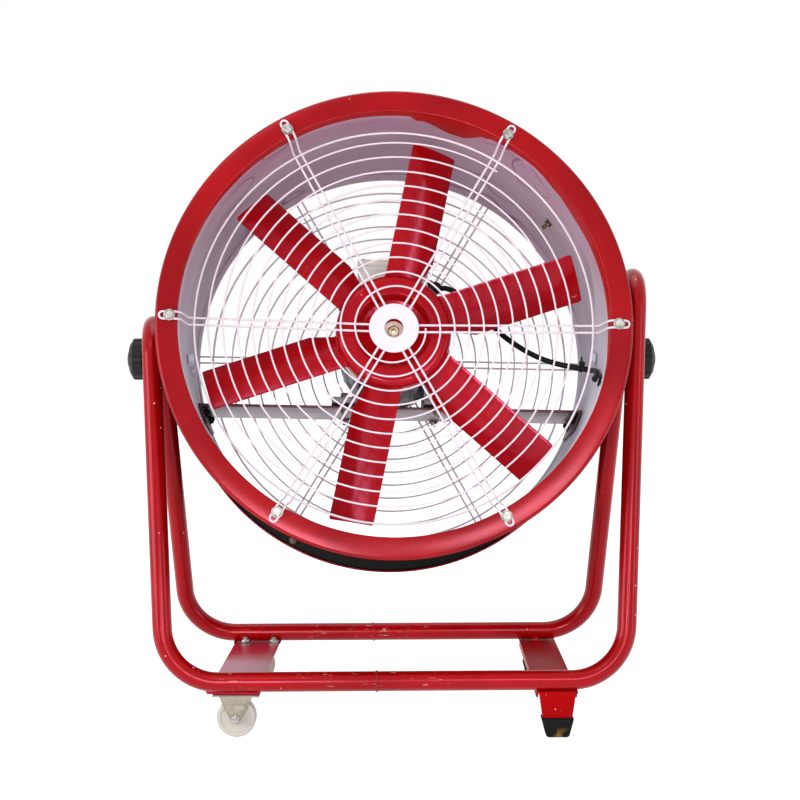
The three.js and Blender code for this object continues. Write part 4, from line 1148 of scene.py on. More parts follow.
def pivot_plates():
    """The plate between each pair of legs, with the pivot's hole and a bead down each edge."""
    for name, side, top in (("left", -1, left_top), ("right", 1, right_top)):
        low = pivot.z - plate_height / 2
        levels = [low + plate_height * i / 12 for i in range(13)]
        edge = [(plate_edge(top, level, plate_slack), level) for level in levels]
        outline = [(-y, z) for y, z in edge] + [(y, z) for y, z in reversed(edge)]
        plate = prism("pivot_plate_" + name + "_welded", outline, plate_thickness)
        moved(plate, turn(math.pi / 2, "Z"))
        hole = pin("pivot_hole", pivot_hole, -pivot_hole_depth, pivot_hole_depth, 40)
        bored(plate, moved(hole, shift(-plate_thickness / 2, 0, pivot.z) @ turn(math.pi / 2, "Z")))
        rounded(plate, pivot_plate_rounding)
        place = stand_place @ shift(side * pivot_half_width + plate_thickness / 2, 0, 0)
        dressed(plate, place, "stand", "tube_red", "red_paint", "pivot_plate_" + name)
        for end, back in ends.items():
            for tag, face in (("inner", -1), ("outer", 1)):
                x = side * pivot_half_width + face * plate_thickness / 2
                line = [(x, back * (y - pivot_weld_bite), z) for y, z in edge]
                bead = weld(f"plate_weld_{name}_{end}_{tag}", line, pivot_plate_bead)
                dressed(bead, stand_place, "stand", "tube_red", "red_paint")


def caster_plate():
    """The left cross plate under both floor bars, with its bolts and beads."""
    low = (-caster_plate_width / 2, -caster_plate_reach, bar_underside - caster_plate_sheet)
    high = (caster_plate_width / 2, caster_plate_reach, bar_underside)
    plate = rounded(block("caster_plate_coated", low, high), caster_plate_rounding, 3)
    dressed(plate, left_base, "stand", "cross_red", "red_paint", "caster_plate")
    reach = bar_half_spread - caster_inset - plate_bolt_inset
    spots = [(plate_bolt_shift + across * plate_bolt_spread, back * reach)
             for back in (-1, 1) for across in (-1, 1)]
    places = [left_base @ shift(x, y, bar_underside) @ upright for x, y in spots]
    set_out(bolt("caster_plate_bolt"), "caster_plate_bolt", places, "stand", "zinc_bolt", "zinc_plate")
    for name, back in ends.items():
        for tag, across in (("left", -1), ("right", 1)):
            x = across * caster_plate_width / 2
            z = bar_underside + caster_plate_weld_lift
            start = bar_half_spread - caster_plate_weld_start
            line = [(x, back * (start + caster_plate_weld * i / 8), z) for i in range(9)]
            bead = weld(f"caster_plate_weld_{name}_{tag}", line, caster_plate_bead)
            dressed(bead, left_base, "stand", "tube_red", "red_paint")


def ear_outline():
    """One cheek of a caster bracket, seen along its axle."""
    top, knee = ear_top / 2, ear_knee / 2
    lower = [(x, z - caster_drop) for x, z in arc((0, 0), ear_tip, 210, 330, 12)]
    return [(-top, 0), (-knee, -ear_drop), *lower, (knee, -ear_drop), (top, 0)]


def rib_outline():
    """The raised panel pressed into a cheek."""
    lower = [(x, z - caster_drop) for x, z in arc((0, 0), ear_tip - 0.0012, 215, 325, 10)]
    return [(-rib_half_width, -rib_drop), *lower, (rib_half_width, -rib_drop)]


def caster_bracket(name, back, place):
    """A top plate, wider towards the middle of the stand, with two ribbed cheeks folded down from it."""
    edges = sorted((back * bracket_outer, -back * bracket_width / 2))
    low = (-bracket_length / 2, edges[0], -bracket_sheet)
    high = (bracket_length / 2, edges[1], 0)
    pieces = [rounded(block("bracket_top", low, high), bracket_rounding)]
    half = ear_top / 2 - bracket_rounding
    for side in (-1, 1):
        cheek = prism("bracket_cheek", ear_outline(), bracket_sheet)
        moved(cheek, shift(0, bracket_inner if side > 0 else -bracket_outer, 0))
        rib = prism("bracket_rib", rib_outline(), rib_sheet)
        face = bracket_outer - rib_sink
        moved(rib, shift(0, face if side > 0 else -face - rib_sheet, 0))
        fold = rod("bracket_fold", [(-half, 0, 0), (half, 0, 0)], bracket_fold, 5)
        crease = side * (bracket_inner + bracket_sheet * 0.25)
        moved(fold, shift(0, crease, -bracket_sheet + bracket_fold_sink))
        pieces += [rounded(cheek, ear_rounding), rounded(rib, rib_rounding), fold]
    bracket = merged("caster_bracket_" + name + "_pressed", *pieces)
    dressed(bracket, place, "stand", "zinc", "zinc_plate", "caster_bracket_" + name)


def caster_wheel():
    """A moulded wheel with a chamfered tread, a recessed web and a nave that stands out."""
    half = wheel_width / 2
    dish = half - wheel_recess
    nave = half + wheel_recess
    quarter = arc((wheel_radius - wheel_chamfer, half - wheel_chamfer), wheel_chamfer, 0, 90, 5)
    side = [*quarter, (wheel_rim + 0.0008, half - 0.0002), (wheel_rim, dish), (wheel_hub + 0.0006, dish),
            (wheel_hub, nave - 0.0006), (wheel_hub - 0.0006, nave), (axle_radius + seat_gap, nave)]
    outline = [*[(radius, -depth) for radius, depth in reversed(side)], *side]
    return turned("caster_wheel", outline, 96)


def caster_axle():
    """A shank with a domed head at the front and a nut behind."""
    seat = bracket_outer + seat_gap + axle_slack
    shank = pin("axle_shank", axle_radius, -seat, seat, 32)
    head = moved(bolt("axle_head"), shift(0, -seat, 0))
    cap = dome("axle_dome", axle_head * dome_share, axle_dome, (0, 20, 40, 60, 80, 90), 32)
    moved(cap, shift(0, -seat - axle_head_height + dome_seat, 0))
    nut = moved(bolt("axle_nut"), shift(0, seat, 0) @ about)
    return merged("caster_axle", shank, head, cap, nut)


def casters():
    """Both fixed casters: their wheels and axles are alike, and their brackets face each other."""
    wheel = caster_wheel()
    axle = caster_axle()
    for name, back in ends.items():
        across = caster_offset - back * caster_shift
        place = left_base @ shift(across, back * (bar_half_spread - caster_inset), caster_top)
        caster_bracket(name, back, place)
        centre = place @ shift(0, 0, -caster_drop)
        rolling = twin(wheel, "caster_wheel_" + name + "_moulded")
        dressed(rolling, centre, "wheel_" + name, "nylon", "nylon", "caster_wheel_" + name)
        fixed = twin(axle, "caster_axle_" + name + "_plated")
        dressed(fixed, centre, "stand", "zinc_bolt", "bright_steel", "caster_axle_" + name)
    bpy.data.objects.remove(wheel)
    bpy.data.objects.remove(axle)


def foot_channel():
    """The right cross channel with its bent-down legs, and its bolts."""
    channel = taken_from("foot_channel", "foot_channel_folded", channel_rounding, 3)
    dressed(channel, as_packed, "stand", "channel_red", "red_paint", "foot_channel")
    reach = bar_half_spread - channel_bolt_inset
    places = [right_base @ shift(channel_bolt_x, back * reach, bar_underside) @ upright for back in (-1, 1)]
    set_out(bolt("channel_bolt"), "channel_bolt", places, "stand", "tube_red", "red_paint")


def rubber_shoes():
    """A tapered shoe on each leg of the channel."""
    low = shoe_bottom_width / 2
    half = [*arc((low - shoe_corner, shoe_corner), shoe_corner, 270, 345, 6), (shoe_top_width / 2, shoe_top)]
    outline = [*[(-x, z) for x, z in reversed(half)], *half]
    shoe = rounded(prism("rubber_shoe", outline, shoe_length), shoe_rounding, 3)
    for name, back in ends.items():
        middle = back * (cross_half_length - leg_depth / 2)
        place = right_base @ shift(0, middle - shoe_length / 2, 0)
        copy = twin(shoe, "rubber_shoe_" + name + "_moulded")
        dressed(copy, place, "stand", "shoe", "rubber", "rubber_shoe_" + name)
    bpy.data.objects.remove(shoe)


# Drum


def drum_shell():
    """The rolled shell with its cable hole, and its weld seam inside and out."""
    first = rim_sheet + seat_gap
    last = drum_length - first
    outline = [(shell_bore, first), (shell_outer, first), (shell_outer, last), (shell_bore, last)]
    shell = turned("drum_shell_rolled", outline, drum_steps)
    spot = turn(clock - grommet_angle) @ shift(shell_bore - cable_hole_depth, grommet_depth, 0) @ sideways
    bored(shell, moved(pin("cable_hole", grommet_hole, 0, 2 * cable_hole_depth, 32), spot))
    middle = shell_bore + shell_wall / 2
    for face in shell.data.polygons:
        face.material_index = 0 if math.hypot(face.center.x, face.center.z) > middle else 1
    dressed(shell, duct_place, "drum", ("shell_black", "lining"), "drum_paint", "drum_shell")
    line = []
    for number in range(seam_steps + 1):
        depth = collar_depth + (drum_length - 2 * collar_depth) * number / seam_steps
        line.append((seam_wander * math.sin(number * 1.3), depth, -shell_bore + seam_bite))
    dressed(weld("shell_seam", line, seam_bead), duct_place, "drum", "lining", "drum_paint")
    outer = [(x, y, z - shell_wall - seam_bite) for x, y, z in line]
    outside = weld("shell_seam_outside", outer, outer_seam_bead)
    dressed(outside, duct_place, "drum", "shell_black", "drum_paint")


def rim_finish(face):
    """Which of the rim's finishes a face takes: red, the shell's black, the lining or the lip's darker red,
    which is painted shade.
    """
    radius = math.hypot(face.center.x, face.center.z)
    inward = -(face.normal.x * face.center.x + face.normal.z * face.center.z) / radius
    if radius > rim_radius - rim_sheet and face.center.y > rim_bend * 0.7 and inward < -0.6:
        return 3
    if radius < shell_bore and face.center.y > 0.002:
        return 2
    behind = radius > shell_outer and face.center.y < lip_depth - 0.0005
    return int(behind and max(face.normal.y, inward) > 0.2)


def rim_ring(name, collar, place):
    """A pressed ring: collar inside the shell, flat face, rolled outer lip."""
    fold = arc((collar_inner + collar_bend, collar_bend), collar_bend, 180, 270, 5)
    roll = arc((rim_radius - rim_bend, rim_bend), rim_bend, 270, 360, 8)
    back = arc((rim_radius - rim_bend, rim_bend), rim_bend - rim_sheet, 360, 270, 8)
    outline = [(collar_inner, collar_depth), *fold, *roll, (rim_radius, lip_depth),
               (rim_radius - rim_sheet, lip_depth), *back,
               (collar_inner + rim_sheet, rim_sheet), (collar_inner + rim_sheet, collar_depth)]
    ring = turned("rim_ring_" + name + "_pressed", outline, drum_steps)
    for face in ring.data.polygons:
        face.material_index = rim_finish(face)
    finish = ("rim_red_painted_shade", "shell_black", collar, "rim_lip_painted_shade")
    dressed(ring, place, "drum", finish, "red_paint", "rim_ring_" + name)


def spoke_depth(form, radius):
    """How far behind the rim's face the spokes lie at one radius."""
    share = (guard_ring - radius) / (guard_ring - guard_disc)
    return form["recess"] + form["dish"] * share


def spiral(form):
    """The path of a guard's one long wire, laid in front of its spokes."""
    ahead = spoke_radius + wire_radius + seat_gap
    count = round(spiral_turns * 96)
    points = []
    for number in range(count + 1):
        angle = 2 * math.pi * spiral_turns * number / count
        radius = spiral_start + (spiral_end - spiral_start) * number / count
        depth = spoke_depth(form, radius) - ahead
        points.append((radius * math.cos(angle), depth, -radius * math.sin(angle)))
    return points


def spoke_path(form):
    """A wire from under the disc out over the rim, round its bolt and back."""
    on_face = -spoke_radius - seat_gap
    edge = collar_inner + rim_sheet + 1.5 * on_face
    loop = loop_end - spoke_radius - loop_half_gap
    leg = [(spoke_inner, spoke_depth(form, spoke_inner)), (joggle_start, spoke_depth(form, joggle_start)),
           (edge - 2 * spoke_radius, min(2 * spoke_radius, form["recess"])), (edge - on_face, on_face),
           (loop, on_face)]
    down = eased([Vector((radius, depth, -loop_half_gap)) for radius, depth in leg], joggle_bend, 4)
    around = [Vector((loop + x, on_face, z)) for x, z in arc((0, 0), loop_half_gap, -90, 90, 14)]
    back = [Vector((point.x, point.y, -point.z)) for point in reversed(down)]
    return [*down[:-1], *around, *back[1:]]


def guard(name, form, place):
    """The spiral wire, the frame that carries it, and the bolts that hold the frame's loops."""
    winding = rod("guard_spiral_" + name + "_wire", spiral(form), wire_radius, 2)
    dressed(winding, place, "drum", "wire", "white_wire", "guard_spiral_" + name)
    spokes = all_round(rod("spoke", spoke_path(form), spoke_radius, 2), spoke_count)
    depth = spoke_depth(form, guard_ring) - 2 * spoke_radius + weld_bite
    ring = rod("hoop", [(x, depth, z) for x, z in circle(guard_ring, 160)], spoke_radius, 2, True)
    back = spoke_depth(form, guard_disc) - spoke_radius + weld_bite
    front = back - disc_sheet
    edge = disc_sheet * 0.35
    outline = [(guard_hole, back), (guard_hole, front + edge), (guard_hole + edge, front),
               (guard_disc - edge, front), (guard_disc, front + edge), (guard_disc, back)]
    whole = merged("guard_frame_" + name + "_wire", turned("disc", outline, 96), ring, *spokes)
    dressed(whole, place, "drum", "wire", "white_wire", "guard_frame_" + name)
    seat = shift(guard_bolt_radius, -2 * spoke_radius - seat_gap, 0)
    places = [place @ turn(2 * math.pi * number / spoke_count) @ seat @ turn(0.5 * number)
              for number in range(spoke_count)]
    set_out(bolt("guard_bolt"), "guard_bolt_" + name, places, "drum", "zinc_bolt", "bright_steel")


def trunnions():
    """The brackets on the shell that the pivot bolts run through."""
    for name in sides:
        piece = taken_from("trunnion_" + name, "trunnion_" + name + "_welded", trunnion_rounding)
        dressed(piece, as_packed, "drum", "bracket_black", "black_paint", "trunnion_" + name)


def pivot_washer():
    """The spacer between a trunnion and its pivot plate."""
    stop = pivot_half_width - plate_thickness / 2 - seat_gap
    start = stop - pivot_washer_sheet
    edge = 0.0004
    outline = [(pivot_bore, start), (pivot_washer_radius - edge, start), (pivot_washer_radius, start + edge),
               (pivot_washer_radius, stop - edge), (pivot_washer_radius - edge, stop), (pivot_bore, stop)]
    return turned("pivot_washer", outline, 72)


def pivot_bolt(name):
    """A bolt from inside the drum out into the knob, with the lining's paint on its head."""
    stop = max(abs(corner.x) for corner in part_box("pivot_bolt_" + name))
    seat = math.sqrt((shell_bore * 0.9972) ** 2 - (axis_rise + pivot_bolt_head) ** 2) - seat_gap
    head = moved(bolt("pivot_head"), sideways @ shift(0, seat, 0))
    outline = [(0, seat - 0.0004), (pivot_bolt_radius, seat - 0.0004), (pivot_bolt_radius, stop - 0.001),
               (pivot_bolt_radius - 0.001, stop), (0, stop)]
    shank = moved(turned("pivot_shank", outline, 40, False), sideways)
    whole = merged("pivot_bolt_" + name + "_plated", shank, head)
    for face in whole.data.polygons:
        face.material_index = int(face.center.x < seat)
    return whole


def pivots():
    """A washer and a bolt on each side."""
    washer = pivot_washer()
    for name, facing in sides.items():
        ring = twin(washer, "pivot_washer_" + name + "_nylon")
        dressed(ring, drum_place @ facing @ sideways, "drum", "nylon", "nylon", "pivot_washer_" + name)
        clamp = pivot_bolt(name)
        dressed(clamp, drum_place @ facing, "drum", ("steel", "lining"), "bright_steel", "pivot_bolt_" + name)
    bpy.data.objects.remove(washer)


def knob_shape():
    """A fluted head with a domed face on a short neck, and the fine ring round its cap."""
    start = knob_start + knob_neck_length
    stop = start + knob_head
    face = stop + knob_dome
    grip = [(knob_radius, start + 0.0012 + (knob_head - 0.0030) * i / 4) for i in (1, 2, 3)]
    crown = [(knob_radius * wide, stop + knob_dome * high)
             for wide, high in ((0.72, 0.55), (0.42, 0.88), (0.16, 1))]
    outline = [(pivot_bore, knob_start), (knob_neck_radius - 0.001, knob_start),
               (knob_neck_radius, knob_start + 0.001), (knob_neck_radius + 0.001, start - 0.002),
               (knob_neck_radius + 0.004, start), (knob_radius - 0.0012, start),
               (knob_radius, start + 0.0012), *grip,
               (knob_radius, stop - 0.0018), (knob_radius - 0.0006, stop - 0.0006),
               (knob_radius - 0.0020, stop), *crown, (0, face), (0, face - knob_hollow),
               (pivot_bore, face - knob_hollow)]
    knob = turned("knob", outline, 168)
    for vertex in knob.data.vertices:
        radius = math.hypot(vertex.co.x, vertex.co.z)
        if radius > knob_radius * 0.9:
            angle = math.atan2(vertex.co.z, vertex.co.x)
            groove = max(math.cos(angle * knob_flutes) - 0.35, 0.0) / 0.65
            share = 1 - knob_flute_depth * groove / radius
            vertex.co.x *= share
            vertex.co.z *= share
    ring = [(knob_radius * 0.30, face - 0.0002), (knob_radius * 0.33, face),
            (knob_radius * 0.36, stop + knob_dome * 0.93), (knob_radius * 0.33, stop + knob_dome * 0.8)]
    return knob, turned("knob_cap_ring", ring, 72)


def clamp_knobs():
    """Both knobs: they are alike, and each turns on its own."""
    knob, ring = knob_shape()
    for name, facing in sides.items():
        place = drum_place @ facing @ sideways
        body = "clamp_knob_" + name
        head = twin(knob, "knob_" + name + "_moulded")
        dressed(head, place, body, "plastic", "black_plastic", "knob_" + name)
        dressed(twin(ring, "knob_" + name + "_cap_ring"), place, body, "plastic", "black_plastic")
    bpy.data.objects.remove(knob)
    bpy.data.objects.remove(ring)


# Impeller


def hub():
    """A pressed cup with a rounded shoulder, a dished face and a boss behind it."""
    shoulder_bend = hub_radius - hub_face
    centre = (hub_face, -hub_front + shoulder_bend)
    dish = -hub_front + hub_dish_depth
    flare = hub_dish + hub_dish_flare
    bore = shaft_radius + seat_gap
    shoulder = arc(centre, shoulder_bend, -90, 0, 12)
    under = arc(centre, shoulder_bend - hub_wall, 0, -90, 12)
    lip = arc((flare + 0.001, -hub_front + hub_lip), hub_lip, 215, 270, 4)
    outline = [(bore, dish), (hub_dish - 0.002, dish), (hub_dish - 0.0006, dish - 0.0006), *lip,
               *shoulder, (hub_radius, hub_back), (hub_radius - hub_wall, hub_back), *under,
               (flare + hub_wall, -hub_front + hub_wall), (hub_dish, dish + hub_wall),
               (hub_boss, dish + hub_wall), (hub_boss, hub_back - 0.001), (hub_boss - 0.001, hub_back),
               (bore, hub_back)]
    body = turned("fan_hub_pressed", outline, 144)
    dressed(body, impeller_place, "impeller", "impeller_red", "red_paint", "fan_hub")
    fold = rod("hub_fold_line", [(x, 0.0, z) for x, z in circle(hub_radius, 120)], hub_fold_radius, 2, True)
    dressed(fold, impeller_place, "impeller", "impeller_red", "red_paint")


def chord_limits(radius):
    """The blade's two long edges at one radius: the lower one is cut back at the root."""
    half = blade_chord / 2
    low = -half
    narrow = -half + blade_root_narrow
    if radius < hub_radius + blade_root_cut:
        share = max((radius - hub_radius) / blade_root_cut, 0.0)
        low = narrow + (-half - narrow) * share
    round_off = 0.0
    past = radius - (blade_tip - blade_corner)
    if past > 0:
        round_off = blade_corner - math.sqrt(max(blade_corner ** 2 - past ** 2, 0.0))
    return low + round_off, half - round_off


def blade_rise(along):
    """How far the bent sheet lies off its flat plane, at one place on its chord."""
    half = blade_chord / 2
    bow = (half ** 2 + blade_camber ** 2) / (2 * blade_camber)
    return math.sqrt(bow ** 2 - along ** 2) - bow


def blade_stations():
    """Radii of the blade's rows: close together at the rounded tip."""
    first = hub_radius * 0.97
    cut = hub_radius + blade_root_cut
    last = blade_tip - blade_corner
    rows = [first + (cut - first) * i / 5 for i in range(6)]
    rows += [cut + (last - cut) * i / 14 for i in range(1, 15)]
    return rows + [last + blade_corner * math.sin(math.radians(a)) for a in (20, 40, 58, 74, 84)]


def blade_sheet_shape():
    """A bent sheet: a grid laid out over the blade's outline, cambered and then thickened."""
    stations = blade_stations()
    let_go()
    bpy.ops.mesh.primitive_grid_add(x_subdivisions=len(stations) - 1, y_subdivisions=18, size=2)
    sheet = named("blade")
    for vertex in sheet.data.vertices:
        radius = stations[round((vertex.co.x + 1) / 2 * (len(stations) - 1))]
        low, high = chord_limits(radius)
        along = low + (high - low) * (vertex.co.y + 1) / 2
        vertex.co = (radius, along - blade_lead, blade_rise(along))
    # The sheet's cut edges take the second finish, the pale painted highlight.
    changed(sheet, "SOLIDIFY", thickness=blade_sheet * 0.8, offset=0.0, material_offset_rim=1)
    return rounded(sheet, blade_rounding, 2, math.radians(50))


def blade_weld(tag, face, pitch):
    """The bead where one face of a blade meets the hub."""
    radius = hub_radius + blade_weld_lift
    start, stop = chord_limits(hub_radius)
    line = []
    for number in range(13):
        along = start + (stop - start) * number / 12
        lift = blade_rise(along) - face * blade_weld_bite
        spot = pitch @ Vector((radius, along - blade_lead, lift))
        line.append((math.sqrt(max(radius ** 2 - spot.z ** 2, 0)), spot.y, spot.z))
    return weld("blade_weld_" + tag, line, blade_bead, fineness=2)


def blades():
    """Six blades alike, each welded to the hub on both faces, and a balance rivet on the first."""
    pitch = turn(math.pi / 2 + blade_pitch, "X")
    sheet = moved(blade_sheet_shape(), pitch)
    beads = {"front": blade_weld("front", -1, pitch), "rear": blade_weld("rear", 1, pitch)}
    for number in range(1, blade_count + 1):
        place = impeller_place @ turn(-(blade_phase + 2 * math.pi * (number - 1) / blade_count))
        blade = twin(sheet, f"fan_blade_{number}_pressed")
        dressed(blade, place, "impeller", ("impeller_red", "edge_red"), "red_paint", f"fan_blade_{number}")
        for tag, bead in beads.items():
            dressed(twin(bead, f"blade_weld_{number}_{tag}"), place, "impeller", "impeller_red", "red_paint")
    for model in (sheet, *beads.values()):
        bpy.data.objects.remove(model)
    rivet = turned("balance_rivet", rivet_outline, 28)
    place = impeller_place @ turn(-blade_phase) @ pitch @ shift(*rivet_spot) @ upright
    # The rivet takes the same pale pink, a painted highlight.
    dressed(rivet, place, "impeller", "edge_red", "red_paint")


def shaft_end():
    """The washer and the domed bolt that hold the hub on the shaft."""
    seat = -hub_front + hub_dish_depth - seat_gap
    front = seat - shaft_washer_sheet
    edge = 0.0005
    ring = [(shaft_washer_bore, front), (shaft_washer_radius - edge, front),
            (shaft_washer_radius, front + edge), (shaft_washer_radius, seat), (shaft_washer_bore, seat)]
    washer = turned("shaft_washer_plated", ring, 64)
    dressed(washer, impeller_place, "impeller", "pale_zinc", "bright_steel", "shaft_washer")
    under = front - seat_gap
    head = moved(bolt("shaft_head"), shift(0, under, 0))
    cap = dome("shaft_dome", shaft_bolt_head * dome_share, shaft_bolt_dome, range(0, 91, 15), 48)
    moved(cap, shift(0, under - shaft_bolt_height + dome_seat, 0))
    shank = pin("shaft_shank", shaft_bolt_radius, under - 0.0002, seat + shaft_bolt_length, 32)
    whole = merged("shaft_bolt_domed", head, cap, shank)
    dressed(whole, impeller_place, "impeller", "shaft_gold", "bright_steel", "shaft_bolt")


# Motor


def fin_outline():
    """Round the finned barrel, seen along its shaft: one fin to each step."""
    step = 2 * math.pi / fin_count
    low = (0.5 - fin_share / 2) * step
    tip = low + step * 0.07
    rise = [(low - 0.02, frame_root), (low, frame_root + 0.0008),
            (tip, fin_tip - 0.0006), (tip + 0.006, fin_tip)]
    fin = [*rise, *[(step - angle, radius) for angle, radius in reversed(rise)]]
    outline = []
    for number in range(fin_count):
        for angle, radius in fin:
            at = number * step + angle
            outline.append((radius * math.cos(at), radius * math.sin(at)))
    return outline


def web_outline(side):
    """The wall between a foot and the barrel, with a fillet at its foot."""
    middle = frame_root - frame_wall / 2
    base = -shaft_height + foot_thickness / 2
    outer = foot_inner + foot_web
    tops = [(x, -math.sqrt(middle ** 2 - x ** 2)) for x in (outer, foot_inner)]
    web = [(foot_inner, base), (outer + 0.003, base), (outer, base + 0.008), *tops]
    return web if side > 0 else [(-x, z) for x, z in reversed(web)]


def motor_body():
    """The finned frame with its two feet."""
    length = frame_length - 2 * seat_gap
    first = motor_front + shield_thickness + seat_gap
    pieces = [moved(prism("motor_barrel", fin_outline(), length), shift(0, first, 0))]
    for side in (-1, 1):
        edges = sorted((side * foot_inner, side * foot_outer))
        low = (edges[0], foot_start, -shaft_height)
        high = (edges[1], foot_start + foot_length, -shaft_height + foot_thickness)
        pieces.append(rounded(block("foot", low, high), foot_rounding, 3))
        web = moved(prism("web", web_outline(side), foot_length), shift(0, foot_start, 0))
        pieces.append(rounded(web, foot_web_rounding))
    body = merged("motor_frame_cast", *pieces)
    dressed(body, inside_place, "drum", "motor", "motor_grey", "motor_frame")


def shield_outline(inner):
    """A shield's half section: nose, ribbed face, rounded edge and a rim that laps the frame."""
    floor = shield_thickness * 0.6
    rim = shield_radius - shield_rim_wall
    nose = [(inner, -shield_step), (shield_nose - 0.0015, -shield_step), (shield_nose, -shield_step + 0.0015),
            (shield_nose + 0.001, -0.001), (shield_nose + shield_step * 0.7, 0)]
    edge = arc((shield_radius - shield_step, shield_step), shield_step, 270, 360, 6)
    return [*nose, (shield_radius - shield_step, 0), *edge[1:], (shield_radius, shield_thickness),
            (rim, shield_thickness), (rim, floor), (inner, floor)]


def motor_shields():
    """Both end shields, each with its ribs and four screws."""
    front = inside_place @ shift(0, motor_front, 0)
    rear = inside_place @ shift(0, motor_back, 0) @ about
    for name, place, inner in (("front", front, shaft_radius + 0.0006), ("rear", rear, 0.0)):
        shield = turned("shield", shield_outline(inner), 96, name == "front")
        low = (shield_nose, shield_rib_depths[0], -shield_rib_half_width)
        high = (shield_radius - shield_rib_inset, shield_rib_depths[1], shield_rib_half_width)
        rib = rounded(block("rib", low, high), shield_rib_rounding)
        ribs = all_round(rib, shield_ribs, math.pi / shield_ribs)
        whole = merged("motor_shield_" + name + "_cast", shield, *ribs)
        dressed(whole, place, "drum", "motor", "motor_grey", "motor_shield_" + name)
        seat = shift(shield_radius - shield_screw_inset, 0, 0)
        places = [place @ turn(math.pi / 2 * number) @ seat for number in range(4)]
        set_out(bolt("shield_screw"), "shield_screw_" + name, places, "drum", "zinc_bolt", "bright_steel")


def motor_bolts():
    """The four foot bolts, each with its nut under the plate."""
    foot_top = -shaft_height + foot_thickness + seat_gap
    plate_under = plate_top - plate_sheet - seat_gap
    head = moved(bolt("motor_head"), shift(0, 0, foot_top) @ upright)
    nut = moved(bolt("motor_nut"), shift(0, 0, plate_under) @ downward)
    shank = pin("motor_shank", motor_bolt_radius, plate_under - motor_bolt_height, foot_top, 24)
    whole = merged("motor_bolt", head, nut, moved(shank, downward))
    first = foot_start + (foot_length - foot_hole_span) / 2
    spots = [(side * foot_spacing, first + along) for along in (0, foot_hole_span) for side in (-1, 1)]
    for number, (x, y) in enumerate(spots, 1):
        copy = twin(whole, f"motor_bolt_{number}_plated")
        dressed(copy, inside_place @ shift(x, y, 0), "drum", "steel", "bright_steel", f"motor_bolt_{number}")
    bpy.data.objects.remove(whole)


def motor_pads():
    """The rubber between each foot and the plate."""
    top = -shaft_height - seat_gap
    for name, side in (("left", -1), ("right", 1)):
        edges = sorted((side * foot_inner, side * foot_outer))
        low = (edges[0], foot_start, top - pad_thickness)
        pad = block("motor_pad_" + name + "_moulded", low, (edges[1], foot_start + foot_length, top))
        dressed(rounded(pad, pad_rounding), inside_place, "drum", "rubber", "rubber", "motor_pad_" + name)


def plate_outline(first, last):
    """The plate's edge, seen from the front: flat across, with both ends bent down along the wall."""
    inner = plate_wall - plate_sheet
    under = plate_top - plate_sheet
    angles = [first + (last - first) * number / 6 for number in range(7)]
    outer_side = [(plate_wall * math.cos(a), -plate_wall * math.sin(a)) for a in angles]
    inner_side = [(inner * math.cos(a), -inner * math.sin(a)) for a in angles
                  if -inner * math.sin(a) < under - 0.002]
    reach = math.sqrt(inner ** 2 - under ** 2)
    half = [*outer_side, *reversed(inner_side), (reach + 0.0008, under - 0.001), (reach - 0.001, under)]
    return [*half, *[(-x, z) for x, z in reversed(half)]]


def motor_plate():
    """The sheet across the drum, bolted to the wall through its bent ends."""
    first = math.asin(-plate_top / plate_wall)
    last = first + plate_flange / plate_wall
    plate = prism("motor_plate_folded", plate_outline(first, last), plate_depth)
    rounded(plate, plate_rounding)
    dressed(plate, inside_place @ shift(0, plate_front, 0), "drum", "plate", "zinc_plate", "motor_plate")
    angle = first + (last - first) * end_bolt_share
    places = []
    for way in (math.pi - angle, angle):
        for share in (0.2, 0.8):
            spot = shift(plate_wall - plate_sheet, plate_front + plate_depth * share, 0)
            places.append(inside_place @ turn(way) @ spot @ sideways)
    set_out(bolt("plate_end_bolt"), "plate_end_bolt", places, "drum", "bracket_black", "bright_steel")


def terminal_box():
    """The box saddled on the motor's fins, its lid and the lid's four screws."""
    stop = box_front + box_length
    low = (-box_half_width, box_front, box_bottom)
    body = block("terminal_box_moulded", low, (box_half_width, stop, box_top))
    rounded(body, box_corner, 5, box_bevel_angle)
    bored(body, pin("saddle", fin_tip + saddle_gap, box_front - saddle_margin, stop + saddle_margin, 96))
    dressed(body, inside_place, "drum", "cream", "cream_paint", "terminal_box")
    lid_top = box_top + seat_gap + lid_sheet
    low = (-box_half_width - lid_lip, box_front - lid_lip, box_top - box_corner * 0.55)
    lid = block("terminal_lid_moulded", low, (box_half_width + lid_lip, stop + lid_lip, lid_top))
    rounded(lid, lid_rounding, 4, box_bevel_angle)
    dressed(lid, inside_place, "drum", "cream", "cream_paint", "terminal_lid")
    across = box_half_width + lid_lip - lid_screw_inset
    along = box_length / 2 + lid_lip - lid_screw_inset
    middle = inside_place @ shift(0, box_front + box_length / 2, lid_top - lid_screw_sink)
    places = [middle @ shift(x * across, y * along, 0) @ upright for x in (-1, 1) for y in (-1, 1)]
    screw = turned("lid_screw", lid_screw_outline, 32, False)
    set_out(screw, "lid_screw", places, "drum", "zinc_bolt", "bright_steel")


def smooth_route(points, per_span):
    """A smooth curve through the route's points."""
    knots = [Vector(point) for point in points]
    stretched = [knots[0] * 2 - knots[1], *knots, knots[-1] * 2 - knots[-2]]
    path = []
    for a, b, c, d in zip(stretched, stretched[1:], stretched[2:], stretched[3:]):
        for number in range(per_span):
            t = number / per_span
            curve = (2 * a - 5 * b + 4 * c - d) * t ** 2 + (3 * b - a - 3 * c + d) * t ** 3
            path.append(0.5 * (2 * b + (c - a) * t + curve))
    return [*path, knots[-1]]


